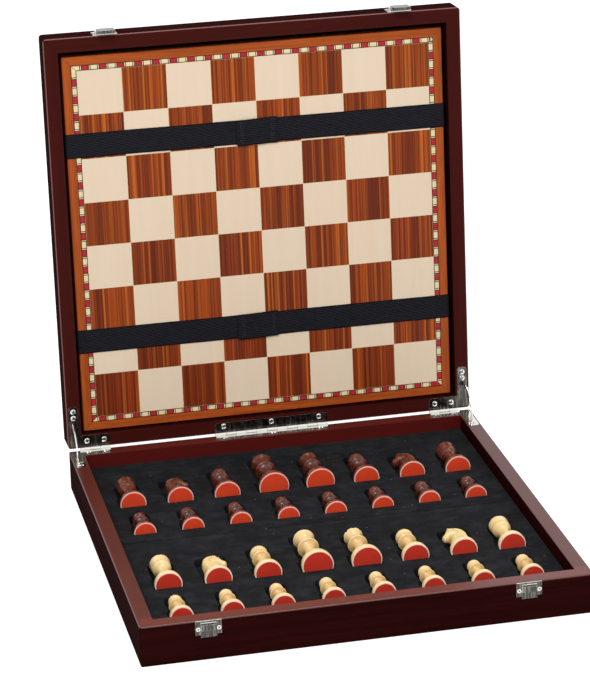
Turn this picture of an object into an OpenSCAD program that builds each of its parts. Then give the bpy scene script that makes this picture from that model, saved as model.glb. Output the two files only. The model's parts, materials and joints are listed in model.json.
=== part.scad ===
// Wooden chess box: a base tray with two velvet panels for the chess pieces, and a hinged lid
// that carries the playing board under two elastic bands. Modelled with the lid open.

/* [Box] */
// Width of the box, left to right
box_w = 380; // [360:1:400]
// Depth of the box, front to hinge
box_d = 380; // [360:1:400]
// Height of the base
base_h = 35.4; // [34:0.1:38]
// Height of the lid
lid_h = 26; // [26:0.5:30]
// Thickness of the side boards
wall_t = 13; // [13:0.1:14]
// Radius on the outer long edges of the boards
edge_r = 1.2; // [1:0.1:1.5]
// Radius on the upright corners
corner_r = 3.5; // [2:0.1:4]
// Thickness of the floor and of the lid's panel
panel_t = 4.5; // [4:0.1:4.5]

/* [Lid position] */
// Angle at which the stays hold the lid, from closed
open_angle = 93.9; // [90:0.05:95]

/* [Velvet panels] */
// Height of the velvet's surface above the table
velvet_z = 22.4; // [22:0.1:24]
// Depth of the recesses below the velvet
recess_d = 10.8; // [10:0.1:11]
// Distance of the seam between the panels, behind the middle
seam_y = 1.5; // [-2:0.1:4]

/* [Chess pieces] */
// Distance between neighbouring pieces
file_pitch = 42.5; // [41:0.1:43]
// Front plane of the dark back rank
dark_rank_y = 81.3; // [80:0.1:84]
// Front plane of the dark pawns
dark_pawn_y = 20.7; // [18:0.1:22]
// Front plane of the light back rank
light_rank_y = -93.2; // [-95:0.1:-90]
// Front plane of the light pawns
light_pawn_y = -153.5; // [-156:0.1:-150]
// Thickness of the felt discs
felt_t = 0.8; // [0.6:0.1:1]

/* [Playing board] */
// Side of one square
square = 40.2; // [38:0.1:40.5]
// Width of the inlaid band round the squares
inlay_w = 5; // [4:0.1:5.5]
// Width of the plain frame outside the band
frame_w = 7.8; // [6:0.1:8]
// Thickness of the board
board_t = 12; // [10:0.1:12]
// Distance from the lid's rim down to the board's face
board_depth = 6; // [5:0.1:6]

/* [Elastic bands] */
// Width of a band
strap_w = 22; // [18:0.5:24]
// Thickness of a band
strap_t = 1; // [0.8:0.1:1]
// Distance of each band from the middle of the board
strap_y = 90.8; // [80:0.1:100]

/* [Hinges] */
// Height of the hinge axis above the base's rim
axis_rise = 0.6; // [0.5:0.05:0.7]
// Distance of the hinge axis behind the box
axis_back = 0.7; // [0.6:0.05:0.8]
// Outer radius of the knuckles
knuckle_r = 2; // [1.8:0.05:2]
// Thickness of the leaves
leaf_t = 1.1; // [1:0.05:1.1]
// Length of the middle hinge
centre_len = 106; // [96:1:110]
// Number of knuckles on the middle hinge
centre_knuckles = 11; // [9:2:13]
// Length of the corner hinges' pins
corner_len = 28.2; // [26:0.1:30]
// Radius of the stays' middle line about the hinge axis
stay_r = 24; // [23:0.1:25]

/* [Latches] */
// Distance of each latch from the middle of the front
latch_x = 134; // [120:1:145]
// Width of a latch plate
latch_w = 21.6; // [20:0.1:23]

/* [Hidden] */

$fn = 48;
eps = 0.01;

// Colours
mahogany = "#4a1410";
rosewood = "#7a3420";
boxwood = "#e8cd9a";
felt_red = "#c83c1e";
velvet = "#1b1b1f";
nickel = "#c9c9c4";

// Box
half_w = box_w / 2;
half_d = box_d / 2;
rebate_d = 7;
panel_w = box_w - 2 * (wall_t - rebate_d) - 0.2;
inner_w = box_w - 2 * wall_t;
insert_gap = 0.2;
seam_gap = 0.4;

// Hinge axis, and the lid's rim plane when the lid is shut
axis_y = half_d + axis_back;
axis_z = base_h + axis_rise;
shut_z = base_h + 2 * axis_rise;
lid_panel_z = lid_h - panel_t;
lining_t = 3.4;
lining_z = lid_panel_z - lining_t;

// Playing board
board_w = 8 * square + 2 * (inlay_w + frame_w);
board_hinge_gap = 1.2;
board_y = (inner_w - board_w) / 2 - board_hinge_gap;
board_chamfer = 0.7;
strap_gap = 0.15;

// Hinges
leaf_inset = 1;
leaf_cut = 0.35;
pocket_gap = 0.15;
rebate_gap = 0.3;
knuckle_gap = 0.2;
leaf_r = 3;
pin_r = 1;
pin_play = 0.06;
corner_x0 = half_w - 1.7;
corner_arm_w = 9.6;
corner_arm_y = 149.8;
corner_pin_x = half_w - 10.6;
screw_r = 1.3;
screw_head_r = 2.6;
screw_len = 9;
small_head_r = 1.9;
centre_leaf_w = 8.4;
centre_screws = [-45, 0, 45];
corner_screws = [17.8, 33.6];
corner_screw_y = 183.2;
side_screw_x = half_w - 6.5;
side_screws = [154.6, 160.6];
leaf_front = half_d - wall_t + leaf_inset;
leaf_rear = axis_y - knuckle_r - leaf_cut;
centre_front = leaf_rear - centre_leaf_w;
screw_y = centre_front + 3.2;
axis_up = axis_rise + leaf_t;

// Stays
stay_x = half_w - 4.9;
stay_t = 1.2;
stay_w = 3.5;
stay_stop_w = 5.2;
stay_reach = 5.3;
stay_stop = 2.3;
stay_half = open_angle / 2 + stay_reach;
slot_w = 2;
mortise_w = 2.4;
mortise_d = 21.4;
mortise_y0 = 27.2;
mortise_y1 = 12;

// Latches: heights on the lid and hook heights are from the lid's rim, distances out from the front face
plate_t = 0.8;
keeper_h = 12.1;
keeper_z = base_h - 0.3 - keeper_h;
keeper_screw_z = keeper_z + 5.1;
keeper_lip = 2;
bulge_w = 13;
bulge_out = 2.6;
latch_plate_z = 1;
latch_plate_h = 14;
latch_screw_z = 11.5;
ear_t = 1;
ear_r = 1.7;
pivot_z = 4;
pivot_out = 2.9;
latch_pin_r = 0.8;
latch_screw_x = 8.6;
hood_w = 15.2;
hood_out = 5.8;
hook_z = -9.7;
hook_h = 0.8;
barrel_r = 1.9;
shut_extra = 0.15;
front_drop = (box_d + axis_back) * sin(shut_extra);
step_z = shut_z + hook_z + hook_h + 0.3 - front_drop;

// Chess pieces: radius of the base, radius of the head, length
king_base = 13.7;
queen_base = 13.2;
rook_base = 11.8;
pawn_base = 10;
king_len = 70;
queen_len = 58.6;
bishop_len = 54.5;
knight_len = 45.5;
rook_len = 45.4;
pawn_len = 38.6;
seat_gap = 0.15;
recess_room = 2;
recess_r = 5;
ranks = ["rook", "knight", "bishop", "king", "queen", "bishop", "knight", "rook"];

function file_x(i) = (i - 3.5) * file_pitch;
function base_of(kind) =
  kind == "king" ? king_base : kind == "queen" ? queen_base : kind == "pawn" ? pawn_base : rook_base;
function length_of(kind) =
  kind == "king" ? king_len : kind == "queen" ? queen_len : kind == "bishop" ? bishop_len
  : kind == "knight" ? knight_len : kind == "rook" ? rook_len : pawn_len;
function head_of(kind) =
  kind == "king" ? 9.4 : kind == "queen" ? 8.6 : kind == "bishop" ? 8
  : kind == "knight" ? 11.4 : kind == "rook" ? 8.9 : 6.9;
function head_depth_of(kind) = kind == "knight" ? 7.6 : head_of(kind);
function bell_of(kind) = kind == "pawn" ? 13 : kind == "king" || kind == "queen" ? 21 : 17;
function recess_floor() = velvet_z - recess_d;
function axis_of(kind) = recess_floor() + base_of(kind) + seat_gap;

// Points of a curve from p to q that leaves p and reaches q along the lines to c
function bend(p, c, q, n = 6) =
  [for (i = [0:n]) let (t = i / n) (1 - t) * (1 - t) * p + 2 * t * (1 - t) * c + t * t * q];
// Points on a circle in a lathe profile, from angle a to b
function arc(c, r, a, b, n = 8) =
  [for (i = [0:n]) let (t = a + (b - a) * i / n) [c[0] + r * cos(t), c[1] + r * sin(t)]];
// One corner-cutting pass over a closed outline, repeated n times
function rounded(p, n) =
  n == 0 ? p : rounded([for (i = [0:len(p) - 1], s = [0.25, 0.75])
    (1 - s) * p[i] + s * p[(i + 1) % len(p)]], n - 1);

// The foot that all turned pieces share: plinth, bell and waist
function foot(r, waist, waist_z) = concat(
  [[0, felt_t], [r - 1, felt_t], [r, felt_t + 0.9], [r, 2.9]],
  bend([r, 2.9], [r * 0.97, r * 0.62], [r * 0.64, r * 0.86]),
  bend([r * 0.62, r * 0.9], [waist * 1.05, r * 1.05], [waist, waist_z])
);

module opened() {
  translate([0, axis_y, axis_z]) rotate([-open_angle, 0, 0]) translate([0, -axis_y, -axis_z]) children();
}

module both_sides() {
  children();
  mirror([1, 0, 0]) children();
}

// Box boards

module board_section(h) {
  translate([wall_t - edge_r, edge_r]) circle(edge_r, $fn = 32);
  translate([wall_t - edge_r, h - edge_r]) circle(edge_r, $fn = 32);
  polygon([
    [0, 0], [wall_t - edge_r, 0], [wall_t - edge_r, edge_r], [wall_t, edge_r],
    [wall_t, h - edge_r], [wall_t - edge_r, h - edge_r], [wall_t - edge_r, h], [0, h]
  ]);
}

module side_board(h, length, reach) {
  translate([reach - wall_t, length / 2, 0]) rotate([90, 0, 0]) linear_extrude(length)
    difference() {
      board_section(h);
      translate([-eps, -eps]) square([rebate_d + eps, panel_t + eps]);
    }
}

module upright_corners(h) {
  linear_extrude(h) union() {
    square([box_w - 2 * corner_r, box_d], center = true);
    square([box_w, box_d - 2 * corner_r], center = true);
    for (x = [-1, 1], y = [-1, 1])
      translate([x * (half_w - corner_r), y * (half_d - corner_r)]) circle(corner_r, $fn = 40);
  }
}

module mitre(h) {
  translate([0, 0, -1]) linear_extrude(h + 2) polygon([[0, 0], [box_w, box_d], [box_w, -box_d]]);
}

// Four mitred boards round an opening, with the panel's rebate at their lower inner edge
module boards(h) {
  intersection() {
    upright_corners(h);
    for (a = [0:90:270]) rotate([0, 0, a]) intersection() {
      side_board(h, box_d, half_w);
      mitre(h);
    }
  }
}

module stay_mortises() {
  both_sides() translate([stay_x - mortise_w / 2, axis_y - mortise_y0, -mortise_d])
    cube([mortise_w, mortise_y0 - mortise_y1, mortise_d + 1]);
}

// Screw places on a rim, the same in base and lid
module rim_screws() {
  for (x = centre_screws) translate([x, screw_y, 0]) children();
  both_sides() {
    for (x = corner_screws) translate([half_w - x, corner_screw_y, 0]) children();
    for (y = side_screws) translate([side_screw_x, y, 0]) children();
  }
}

module front_screws(z) {
  for (s = [-1, 1], x = [-1, 1])
    translate([s * latch_x + x * latch_screw_x, -half_d, z]) rotate([90, 0, 0]) children();
}

module screw(flush) {
  translate([0, 0, -screw_len]) cylinder(r = screw_r, h = screw_len, $fn = 24);
  cylinder(r1 = screw_r, r2 = screw_head_r, h = flush, $fn = 24);
}

module pilot() {
  translate([0, 0, -screw_len]) cylinder(r = screw_r, h = screw_len + 1, $fn = 24);
}

// The room that one leaf takes in a rim, and the rebate for its knuckles
module knuckle_rebate(x0, length) {
  reach = knuckle_r + rebate_gap;
  translate([x0 - pocket_gap, axis_y - reach, axis_up - reach])
    cube([length + 2 * pocket_gap, 2 * reach, 2 * reach]);
}

module leaf_pockets() {
  linear_extrude(leaf_t + 1) centre_outline(pocket_gap);
  knuckle_rebate(-centre_len / 2, centre_len);
  both_sides() {
    linear_extrude(leaf_t + 1) corner_outline(pocket_gap);
    knuckle_rebate(corner_pin_x - corner_len, corner_len);
  }
}

module base_walls() {
  color(mahogany) difference() {
    boards(base_h);
    translate([0, 0, base_h]) stay_mortises();
    translate([0, 0, base_h - leaf_t]) {
      leaf_pockets();
      rim_screws() pilot();
    }
    front_screws(keeper_screw_z) pilot();
  }
}

module base_floor() {
  color(mahogany) translate([-panel_w / 2, -panel_w / 2, 0]) cube([panel_w, panel_w, panel_t]);
}

// Lid pieces are built shut, then opened

module lid_walls() {
  color(mahogany) opened() translate([0, 0, shut_z]) difference() {
    translate([0, 0, lid_h]) mirror([0, 0, 1]) boards(lid_h);
    mirror([0, 0, 1]) stay_mortises();
    translate([0, 0, leaf_t]) mirror([0, 0, 1]) {
      leaf_pockets();
      rim_screws() pilot();
    }
    front_screws(latch_screw_z) pilot();
  }
}

module lid_panel() {
  color(mahogany) opened()
    translate([-panel_w / 2, -panel_w / 2, shut_z + lid_panel_z]) cube([panel_w, panel_w, panel_t]);
}

module strap_slots(extra) {
  for (s = [-1, 1]) translate([s * (board_w / 2 + strap_gap + strap_t / 2), 0, 0])
    cube([strap_t + 2 * extra, strap_w + 2 * extra, 20], center = true);
}

module lid_lining() {
  w = inner_w - 2 * insert_gap;
  color(velvet) opened() translate([0, 0, shut_z + lining_z]) difference() {
    translate([-w / 2, -w / 2, 0]) cube([w, w, lining_t]);
    for (y = [-strap_y, strap_y]) translate([0, y, 0]) {
      strap_slots(0.4);
      translate([-board_w / 2 - strap_gap - strap_t - 0.4, -strap_w / 2 - 0.4, lining_t - strap_t - 0.1])
        cube([board_w + 2 * (strap_gap + strap_t + 0.4), strap_w + 0.8, strap_t + 1]);
    }
  }
}

module board() {
  w = board_w / 2;
  c = board_chamfer;
  t = board_t;
  color(rosewood) opened() translate([0, board_y, shut_z + board_depth]) intersection() {
    translate([0, w, 0]) rotate([90, 0, 0]) linear_extrude(2 * w)
      polygon([[-w + c, 0], [w - c, 0], [w, c], [w, t - c], [w - c, t], [c - w, t], [-w, t - c], [-w, c]]);
    translate([-w, 0, 0]) rotate([90, 0, 90]) linear_extrude(2 * w)
      polygon([[-w + c, 0], [w - c, 0], [w, c], [w, t - c], [w - c, t], [c - w, t], [-w, t - c], [-w, c]]);
  }
}

// A closed band round the board's face and edges and through the lining
module strap(y) {
  x = board_w / 2 + strap_gap;
  z0 = board_depth - strap_gap - strap_t;
  color(velvet) opened() translate([0, y + strap_w / 2, shut_z]) rotate([90, 0, 0]) linear_extrude(strap_w)
    difference() {
      translate([-x - strap_t, z0]) square([2 * (x + strap_t), lid_panel_z - z0]);
      translate([-x, z0 + strap_t]) square([2 * x, lid_panel_z - z0 - 2 * strap_t]);
    }
}

// Hinges

// Places of the knuckles of one leaf along a pin, first = 0 or 1
module knuckle_row(x0, length, count, first) {
  w = length / count;
  for (i = [first:2:count - 1]) translate([x0 + i * w + knuckle_gap / 2, 0, 0])
    rotate([90, 0, 90]) linear_extrude(w - knuckle_gap) children();
}

module knuckle_outline(bore) {
  difference() {
    union() {
      translate([axis_y, axis_up]) circle(knuckle_r, $fn = 40);
      translate([axis_y - knuckle_r - 1, 0]) square([knuckle_r + 1, leaf_t]);
    }
    translate([axis_y, axis_up]) circle(bore, $fn = 32);
  }
}

module countersinks() {
  rim_screws() {
    cylinder(r1 = screw_r, r2 = screw_head_r, h = leaf_t, $fn = 24);
    translate([0, 0, -1]) cylinder(r = screw_r, h = 1 + eps, $fn = 24);
    translate([0, 0, leaf_t - eps]) cylinder(r = screw_head_r, h = 1, $fn = 24);
  }
}

// A plate with its two front corners rounded
module plate_outline(x0, x1, y0, y1) {
  union() {
    translate([x0, y0 + leaf_r]) square([x1 - x0, y1 - y0 - leaf_r]);
    translate([x0 + leaf_r, y0]) square([x1 - x0 - 2 * leaf_r, leaf_r + eps]);
    for (x = [x0 + leaf_r, x1 - leaf_r]) translate([x, y0 + leaf_r]) circle(leaf_r, $fn = 40);
  }
}

module centre_outline(grow) {
  w = centre_len / 2 + grow;
  plate_outline(-w, w, centre_front - grow, leaf_rear + grow);
}

// The right-hand corner: one arm along the rear rim, one along the side rim
module corner_outline(grow) {
  x1 = corner_x0 - corner_arm_w - grow;
  x2 = corner_pin_x - corner_len - grow;
  plate_outline(x1, corner_x0 + grow, corner_arm_y - grow, leaf_rear + grow);
  plate_outline(x2, x1 + 2 * leaf_r, leaf_front - grow, leaf_rear + grow);
}

module centre_leaf(first, bore) {
  difference() {
    union() {
      linear_extrude(leaf_t) centre_outline(0);
      knuckle_row(-centre_len / 2, centre_len, centre_knuckles, first) knuckle_outline(bore);
    }
    countersinks();
  }
}

module corner_leaf(first, bore) {
  difference() {
    union() {
      linear_extrude(leaf_t) union() corner_outline(0);
      knuckle_row(corner_pin_x - corner_len, corner_len, 3, first) knuckle_outline(bore);
    }
    countersinks();
    translate([stay_x - slot_w / 2, axis_y - stay_r - stay_w / 2 - 0.4, -1])
      cube([slot_w, stay_w + 0.8, leaf_t + 2]);
  }
}

module base_leaf() {
  color(nickel) translate([0, 0, base_h - leaf_t]) children();
}

module lid_leaf() {
  color(nickel) opened() translate([0, 0, shut_z + leaf_t]) mirror([0, 0, 1]) children();
}

module centre_leaf_base() { base_leaf() centre_leaf(0, pin_r); }
module centre_leaf_lid() { lid_leaf() centre_leaf(1, pin_r + pin_play); }
module corner_leaf_base_right() { base_leaf() corner_leaf(0, pin_r); }
module corner_leaf_base_left() { base_leaf() mirror([1, 0, 0]) corner_leaf(0, pin_r); }
module corner_leaf_lid_right() { lid_leaf() corner_leaf(1, pin_r + pin_play); }
module corner_leaf_lid_left() { lid_leaf() mirror([1, 0, 0]) corner_leaf(1, pin_r + pin_play); }

module hinge_pins() {
  corner_mid = corner_pin_x - corner_len / 2;
  color(nickel) translate([0, axis_y, axis_z]) rotate([0, 90, 0]) {
    cylinder(r = pin_r, h = centre_len - knuckle_gap, center = true, $fn = 32);
    for (s = [-1, 1]) translate([0, 0, s * corner_mid])
      cylinder(r = pin_r, h = corner_len - knuckle_gap, center = true, $fn = 32);
  }
}

// A flat arc about the hinge axis, drawn as seen from the left, with a stop at each end
module stay_outline() {
  middle = 180 - open_angle / 2;
  ring_part(stay_w, middle - stay_half - eps, middle + stay_half + eps);
  ring_part(stay_stop_w, middle - stay_half - stay_stop, middle - stay_half);
  ring_part(stay_stop_w, middle + stay_half, middle + stay_half + stay_stop);
}

module ring_part(w, a, b) {
  intersection() {
    difference() {
      circle(stay_r + w / 2, $fn = 96);
      circle(stay_r - w / 2, $fn = 96);
    }
    polygon(concat(
      [[0, 0]],
      [for (i = [0:6]) let (t = a + (b - a) * i / 6) 2 * stay_r * [cos(t), sin(t)]]
    ));
  }
}

module stay(x) {
  color(nickel) translate([x - stay_t / 2, axis_y, axis_z]) rotate([90, 0, 90])
    linear_extrude(stay_t) stay_outline();
}

module stay_left() { stay(-stay_x); }
module stay_right() { stay(stay_x); }

// Latches: keeper on the base, plate, pin and hood on the lid

module keeper(x) {
  color(nickel) translate([x, -half_d, 0]) difference() {
    union() {
      translate([-latch_w / 2, -plate_t, keeper_z]) cube([latch_w, plate_t, keeper_h]);
      translate([-bulge_w / 2, 0, 0]) rotate([90, 0, 90]) linear_extrude(bulge_w) polygon([
        [0, base_h - 1.6], [-1.6, base_h - 2], [-bulge_out, base_h - 3.4], [-bulge_out, step_z],
        [-1.5, step_z], [-1.5, keeper_z - keeper_lip],
        [-0.7, keeper_z - keeper_lip], [-0.7, keeper_z], [0, keeper_z]
      ]);
    }
    plate_holes(keeper_screw_z);
  }
}

module plate_holes(z) {
  for (s = [-1, 1]) translate([s * latch_screw_x, eps, z]) rotate([90, 0, 0])
    cylinder(r1 = screw_r, r2 = small_head_r, h = plate_t + 2 * eps, $fn = 24);
}

module latch_plate(x) {
  color(nickel) opened() translate([x, -half_d, shut_z]) difference() {
    union() {
      translate([-latch_w / 2, -plate_t, latch_plate_z]) cube([latch_w, plate_t, latch_plate_h]);
      for (s = [-1, 1]) translate([s * (hood_w / 2 + 0.2 + ear_t / 2) - ear_t / 2, 0, 0])
        rotate([90, 0, 90]) linear_extrude(ear_t) union() {
          translate([-pivot_out, pivot_z]) circle(ear_r, $fn = 32);
          translate([-pivot_out, pivot_z - ear_r]) square([pivot_out, 2 * ear_r]);
        }
    }
    plate_holes(latch_screw_z);
    translate([0, -pivot_out, pivot_z]) rotate([0, 90, 0])
      cylinder(r = latch_pin_r, h = latch_w, center = true, $fn = 24);
  }
}

// Hood of thin sheet rolled round its pin, hollow towards the box, with a hook across its end.
// Its outline is drawn about the pin: outwards is negative, as on the plate
module hood_sheet() {
  out = hood_out - pivot_out;
  inner = out - plate_t;
  low = hook_z - pivot_z;
  circle(barrel_r, $fn = 32);
  polygon(concat(
    bend([-0.3, barrel_r - 0.03], [-out, barrel_r], [-out, -2.2]),
    [[-out, low], [-0.1, low], [-0.1, low + hook_h], [-inner, low + hook_h]],
    bend([-inner, -2.2], [-inner, 0.6], [-0.9, 1.2])
  ));
}

module hood_cheek() {
  out = hood_out - pivot_out - 0.1;
  low = hook_z - pivot_z + 0.2;
  circle(barrel_r, $fn = 32);
  polygon([[1.4, -0.8], [1.4, -5], [0.2, -7], [0.1, low], [-out, low], [-out, -2], [-1.8, 0.4]]);
}

module latch_lever(x) {
  color(nickel) opened() translate([x, -half_d - pivot_out, shut_z + pivot_z]) difference() {
    union() {
      translate([-hood_w / 2, 0, 0]) rotate([90, 0, 90]) linear_extrude(hood_w) hood_sheet();
      for (s = [-1, 1]) translate([s * (hood_w - plate_t) / 2 - plate_t / 2, 0, 0])
        rotate([90, 0, 90]) linear_extrude(plate_t) hood_cheek();
    }
    rotate([0, 90, 0]) cylinder(r = latch_pin_r + pin_play, h = latch_w, center = true, $fn = 24);
  }
}

module latch_pins() {
  color(nickel) opened() for (s = [-1, 1])
    translate([s * latch_x, -half_d - pivot_out, shut_z + pivot_z]) rotate([0, 90, 0])
      cylinder(r = latch_pin_r, h = hood_w + 0.4 + 2 * ear_t, center = true, $fn = 24);
}

module small_screw() {
  translate([0, 0, -screw_len + 1]) cylinder(r = screw_r, h = screw_len - 1, $fn = 24);
  cylinder(r1 = screw_r, r2 = small_head_r, h = plate_t, $fn = 24);
}

module screws_base() {
  color(nickel) {
    translate([0, 0, base_h - leaf_t]) rim_screws() screw(leaf_t);
    front_screws(keeper_screw_z) small_screw();
  }
}

module screws_lid() {
  color(nickel) opened() translate([0, 0, shut_z]) {
    translate([0, 0, leaf_t]) mirror([0, 0, 1]) rim_screws() screw(leaf_t);
    front_screws(latch_screw_z) small_screw();
  }
}

// Velvet panels

// The recess of one chess piece: a wide part for its foot, a shallower one for its head
module recess(kind, x, y) {
  r = base_of(kind) + 0.9;
  h = head_of(kind) + 2.2;
  bell = bell_of(kind);
  head_floor = axis_of(kind) - head_depth_of(kind) - seat_gap;
  end = length_of(kind) + recess_room;
  translate([x - r, y - recess_room / 2, recess_floor()]) cube([2 * r, bell + recess_room / 2, recess_d + 1]);
  translate([x, y, head_floor]) linear_extrude(recess_d + 1) union() {
    translate([-h, bell - 1]) square([2 * h, end - bell - recess_r + 1]);
    translate([recess_r - h, bell]) square([2 * (h - recess_r), end - bell]);
    for (s = [-1, 1]) translate([s * (h - recess_r), end - recess_r]) circle(recess_r, $fn = 32);
  }
}

module insert(y0, y1, rank_y, pawn_y) {
  w = inner_w - 2 * insert_gap;
  color(velvet) difference() {
    translate([-w / 2, y0, panel_t]) cube([w, y1 - y0, velvet_z - panel_t]);
    for (i = [0:7]) {
      recess(ranks[i], file_x(i), rank_y);
      recess("pawn", file_x(i), pawn_y);
    }
  }
}

module insert_rear() {
  insert(seam_y + seam_gap / 2, half_d - wall_t - insert_gap, dark_rank_y, dark_pawn_y);
}

module insert_front() {
  insert(wall_t + insert_gap - half_d, seam_y - seam_gap / 2, light_rank_y, light_pawn_y);
}

// Chess pieces, turned standing up, then laid on the velvet with the foot to the front

module felt(r) {
  color(felt_red) cylinder(r = r - 1.4, h = felt_t);
}

module turned(points) {
  rotate_extrude($fn = 64) polygon(points);
}

module pawn() {
  r = pawn_base;
  turned(concat(
    foot(r, 3.3, 19.5),
    bend([3.4, 20.4], [3.8, 22.4], [6.9, 23.4]), [[6.9, 24]],
    bend([6.2, 24.6], [4.4, 25.6], [4.1, 27.3], 3),
    arc([0, 31.9], 5.9, -42, 60, 9), [[1.6, 38.2], [0, 38.6]]
  ));
  felt(r);
}

module rook() {
  r = rook_base;
  difference() {
    turned(concat(
      foot(r, 5.2, 23.5),
      bend([5.3, 25], [5.8, 28.6], [8.3, 30.2]), [[8.5, 31.4], [8.1, 32], [8.2, 32.6]],
      bend([8.3, 33], [8.4, 39], [8.9, 43.8]),
      [[8.9, 44.8], [8.3, 45.4], [6.3, 45.4], [5.9, 41.6], [0, 41.2]]
    ));
    for (a = [0, 60, 120]) rotate([0, 0, a]) translate([-10, -1.1, 42.6]) cube([20, 2.2, 4]);
  }
  felt(r);
}

module bishop() {
  r = rook_base;
  difference() {
    turned(concat(
      foot(r, 3.8, 26),
      bend([3.9, 27], [4.4, 29], [8, 30.2]), [[8, 31.2]], bend([7.2, 31.8], [5.4, 32.2], [5.2, 33], 3),
      [[6.2, 33.8], [6.2, 34.6], [4.8, 35.2]],
      bend([4.6, 36], [10.2, 40.2], [5.4, 46.4], 8),
      bend([5, 47], [3.4, 49.2], [1.7, 50.6], 3),
      arc([0, 52.4], 2.1, -40, 70, 5), [[0, 54.5]]
    ));
    translate([3.4, -10, 45.5]) rotate([0, 38, 0]) translate([0, 0, -0.6]) cube([12, 20, 1.2]);
  }
  felt(r);
}

module queen() {
  r = queen_base;
  difference() {
    turned(concat(
      foot(r, 4.2, 30.5),
      bend([4.3, 31.5], [4.8, 33.6], [8.6, 34.8]), [[8.6, 35.8]],
      bend([7.6, 36.4], [5.6, 36.8], [5.4, 37.6], 3),
      [[6.8, 38.4], [6.8, 39.4], [5, 40.2]],
      bend([4.9, 41], [5.2, 46.5], [8.2, 51.2]), [[8.4, 52], [7.6, 52.2]],
      bend([7, 51.6], [5.6, 53.6], [1.8, 54.2], 4), arc([0, 56.2], 2.4, -50, 70, 5), [[0, 58.6]]
    ));
    for (a = [0:45:315]) rotate([0, 0, a]) translate([8.6, 0, 52.8]) rotate([0, 90, 0])
      cylinder(r = 1.7, h = 4, center = true, $fn = 24);
  }
  felt(r);
}

module king() {
  r = king_base;
  turned(concat(
    foot(r, 4.6, 33),
    bend([4.7, 34], [5.2, 36.4], [9.3, 37.8]), [[9.3, 38.9]],
    bend([8.2, 39.6], [6.2, 40], [6, 40.9], 3),
    [[7.5, 41.7], [7.5, 42.9], [5.6, 43.7]],
    bend([5.5, 44.5], [5.8, 50.5], [9.2, 55.4]), [[9.4, 56.2], [9, 57]],
    bend([8.6, 57.4], [7.2, 60.6], [2.6, 61.8], 5), [[1.7, 62.4], [1.7, 63.4], [0, 63.4]]
  ));
  translate([0, 0.9, 63]) rotate([90, 0, 0]) linear_extrude(1.8) polygon([
    [-1, 0], [-0.8, 2.2], [-2.6, 1.8], [-2.6, 4.8], [-0.8, 4.4], [-1.2, 7],
    [1.2, 7], [0.8, 4.4], [2.6, 4.8], [2.6, 1.8], [0.8, 2.2], [1, 0]
  ]);
  felt(r);
}

// Side view of the horse's head and neck, facing left
function horse_side() = rounded([
  [-8.6, 10.5], [-6.2, 17], [-6.2, 21.5], [-3, 25.5], [-3.6, 27.4], [-7, 26.2],
  [-10.6, 25.4], [-12.2, 27.6], [-11.2, 30.6], [-8, 35.4], [-5, 39.6], [-4.2, 43.6],
  [-2, 45.6], [-0.4, 42], [3.4, 40.6], [7.2, 36.4], [9, 30], [9.2, 23], [8.4, 16.5], [9.4, 10.5]
], 2);
// Front view of the same
function horse_front() = rounded([
  [-7.6, 10], [-6.6, 16], [-5.6, 24], [-5.2, 30], [-4.8, 36], [-4, 42], [-3.4, 47.5],
  [3.4, 47.5], [4, 42], [4.8, 36], [5.2, 30], [5.6, 24], [6.6, 16], [7.6, 10]
], 2);

module knight() {
  r = rook_base;
  turned(concat(
    [[0, felt_t], [r - 1, felt_t], [r, felt_t + 0.9], [r, 2.9]],
    bend([r, 2.9], [r * 0.97, r * 0.62], [r * 0.78, r * 0.86]), [[9.6, 10.6], [9.4, 12], [0, 12.6]]
  ));
  difference() {
    intersection() {
      translate([0, 8, 0]) rotate([90, 0, 0]) linear_extrude(16) polygon(horse_side());
      translate([-14, 0, 0]) rotate([90, 0, 90]) linear_extrude(28) polygon(horse_front());
    }
    translate([-3, 0, 46]) rotate([45, 0, 0]) cube([14, 4, 4], center = true);
    for (s = [-1, 1]) translate([-10.9, s * 3.9, 28]) sphere(0.9, $fn = 16);
    for (z = [18:4.4:40]) translate([9.6, 0, z]) rotate([90, 0, 0])
      cylinder(r = 1, h = 20, center = true, $fn = 16);
    translate([-12.6, -8, 26.2]) rotate([0, -14, 0]) cube([4.4, 16, 0.8]);
  }
  for (s = [-1, 1]) translate([-6.6, s * 4.3, 33.2]) sphere(1.1, $fn = 20);
  felt(r);
}

module lying(kind, x, y) {
  translate([x, y, axis_of(kind)]) rotate([-90, 0, 0]) children();
}

// One piece of the back rank: knights on the left look right
module rank_piece(i, y) {
  kind = ranks[i];
  lying(kind, file_x(i), y) {
    if (kind == "rook") rotate([0, 0, 30]) rook();
    if (kind == "knight") mirror([i < 4 ? 1 : 0, 0, 0]) knight();
    if (kind == "bishop") bishop();
    if (kind == "king") king();
    if (kind == "queen") queen();
  }
}

module dark_rank(i) { color(rosewood) rank_piece(i, dark_rank_y); }
module light_rank(i) { color(boxwood) rank_piece(i, light_rank_y); }
module dark_pawn(i) { color(rosewood) lying("pawn", file_x(i), dark_pawn_y) pawn(); }
module light_pawn(i) { color(boxwood) lying("pawn", file_x(i), light_pawn_y) pawn(); }

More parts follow.
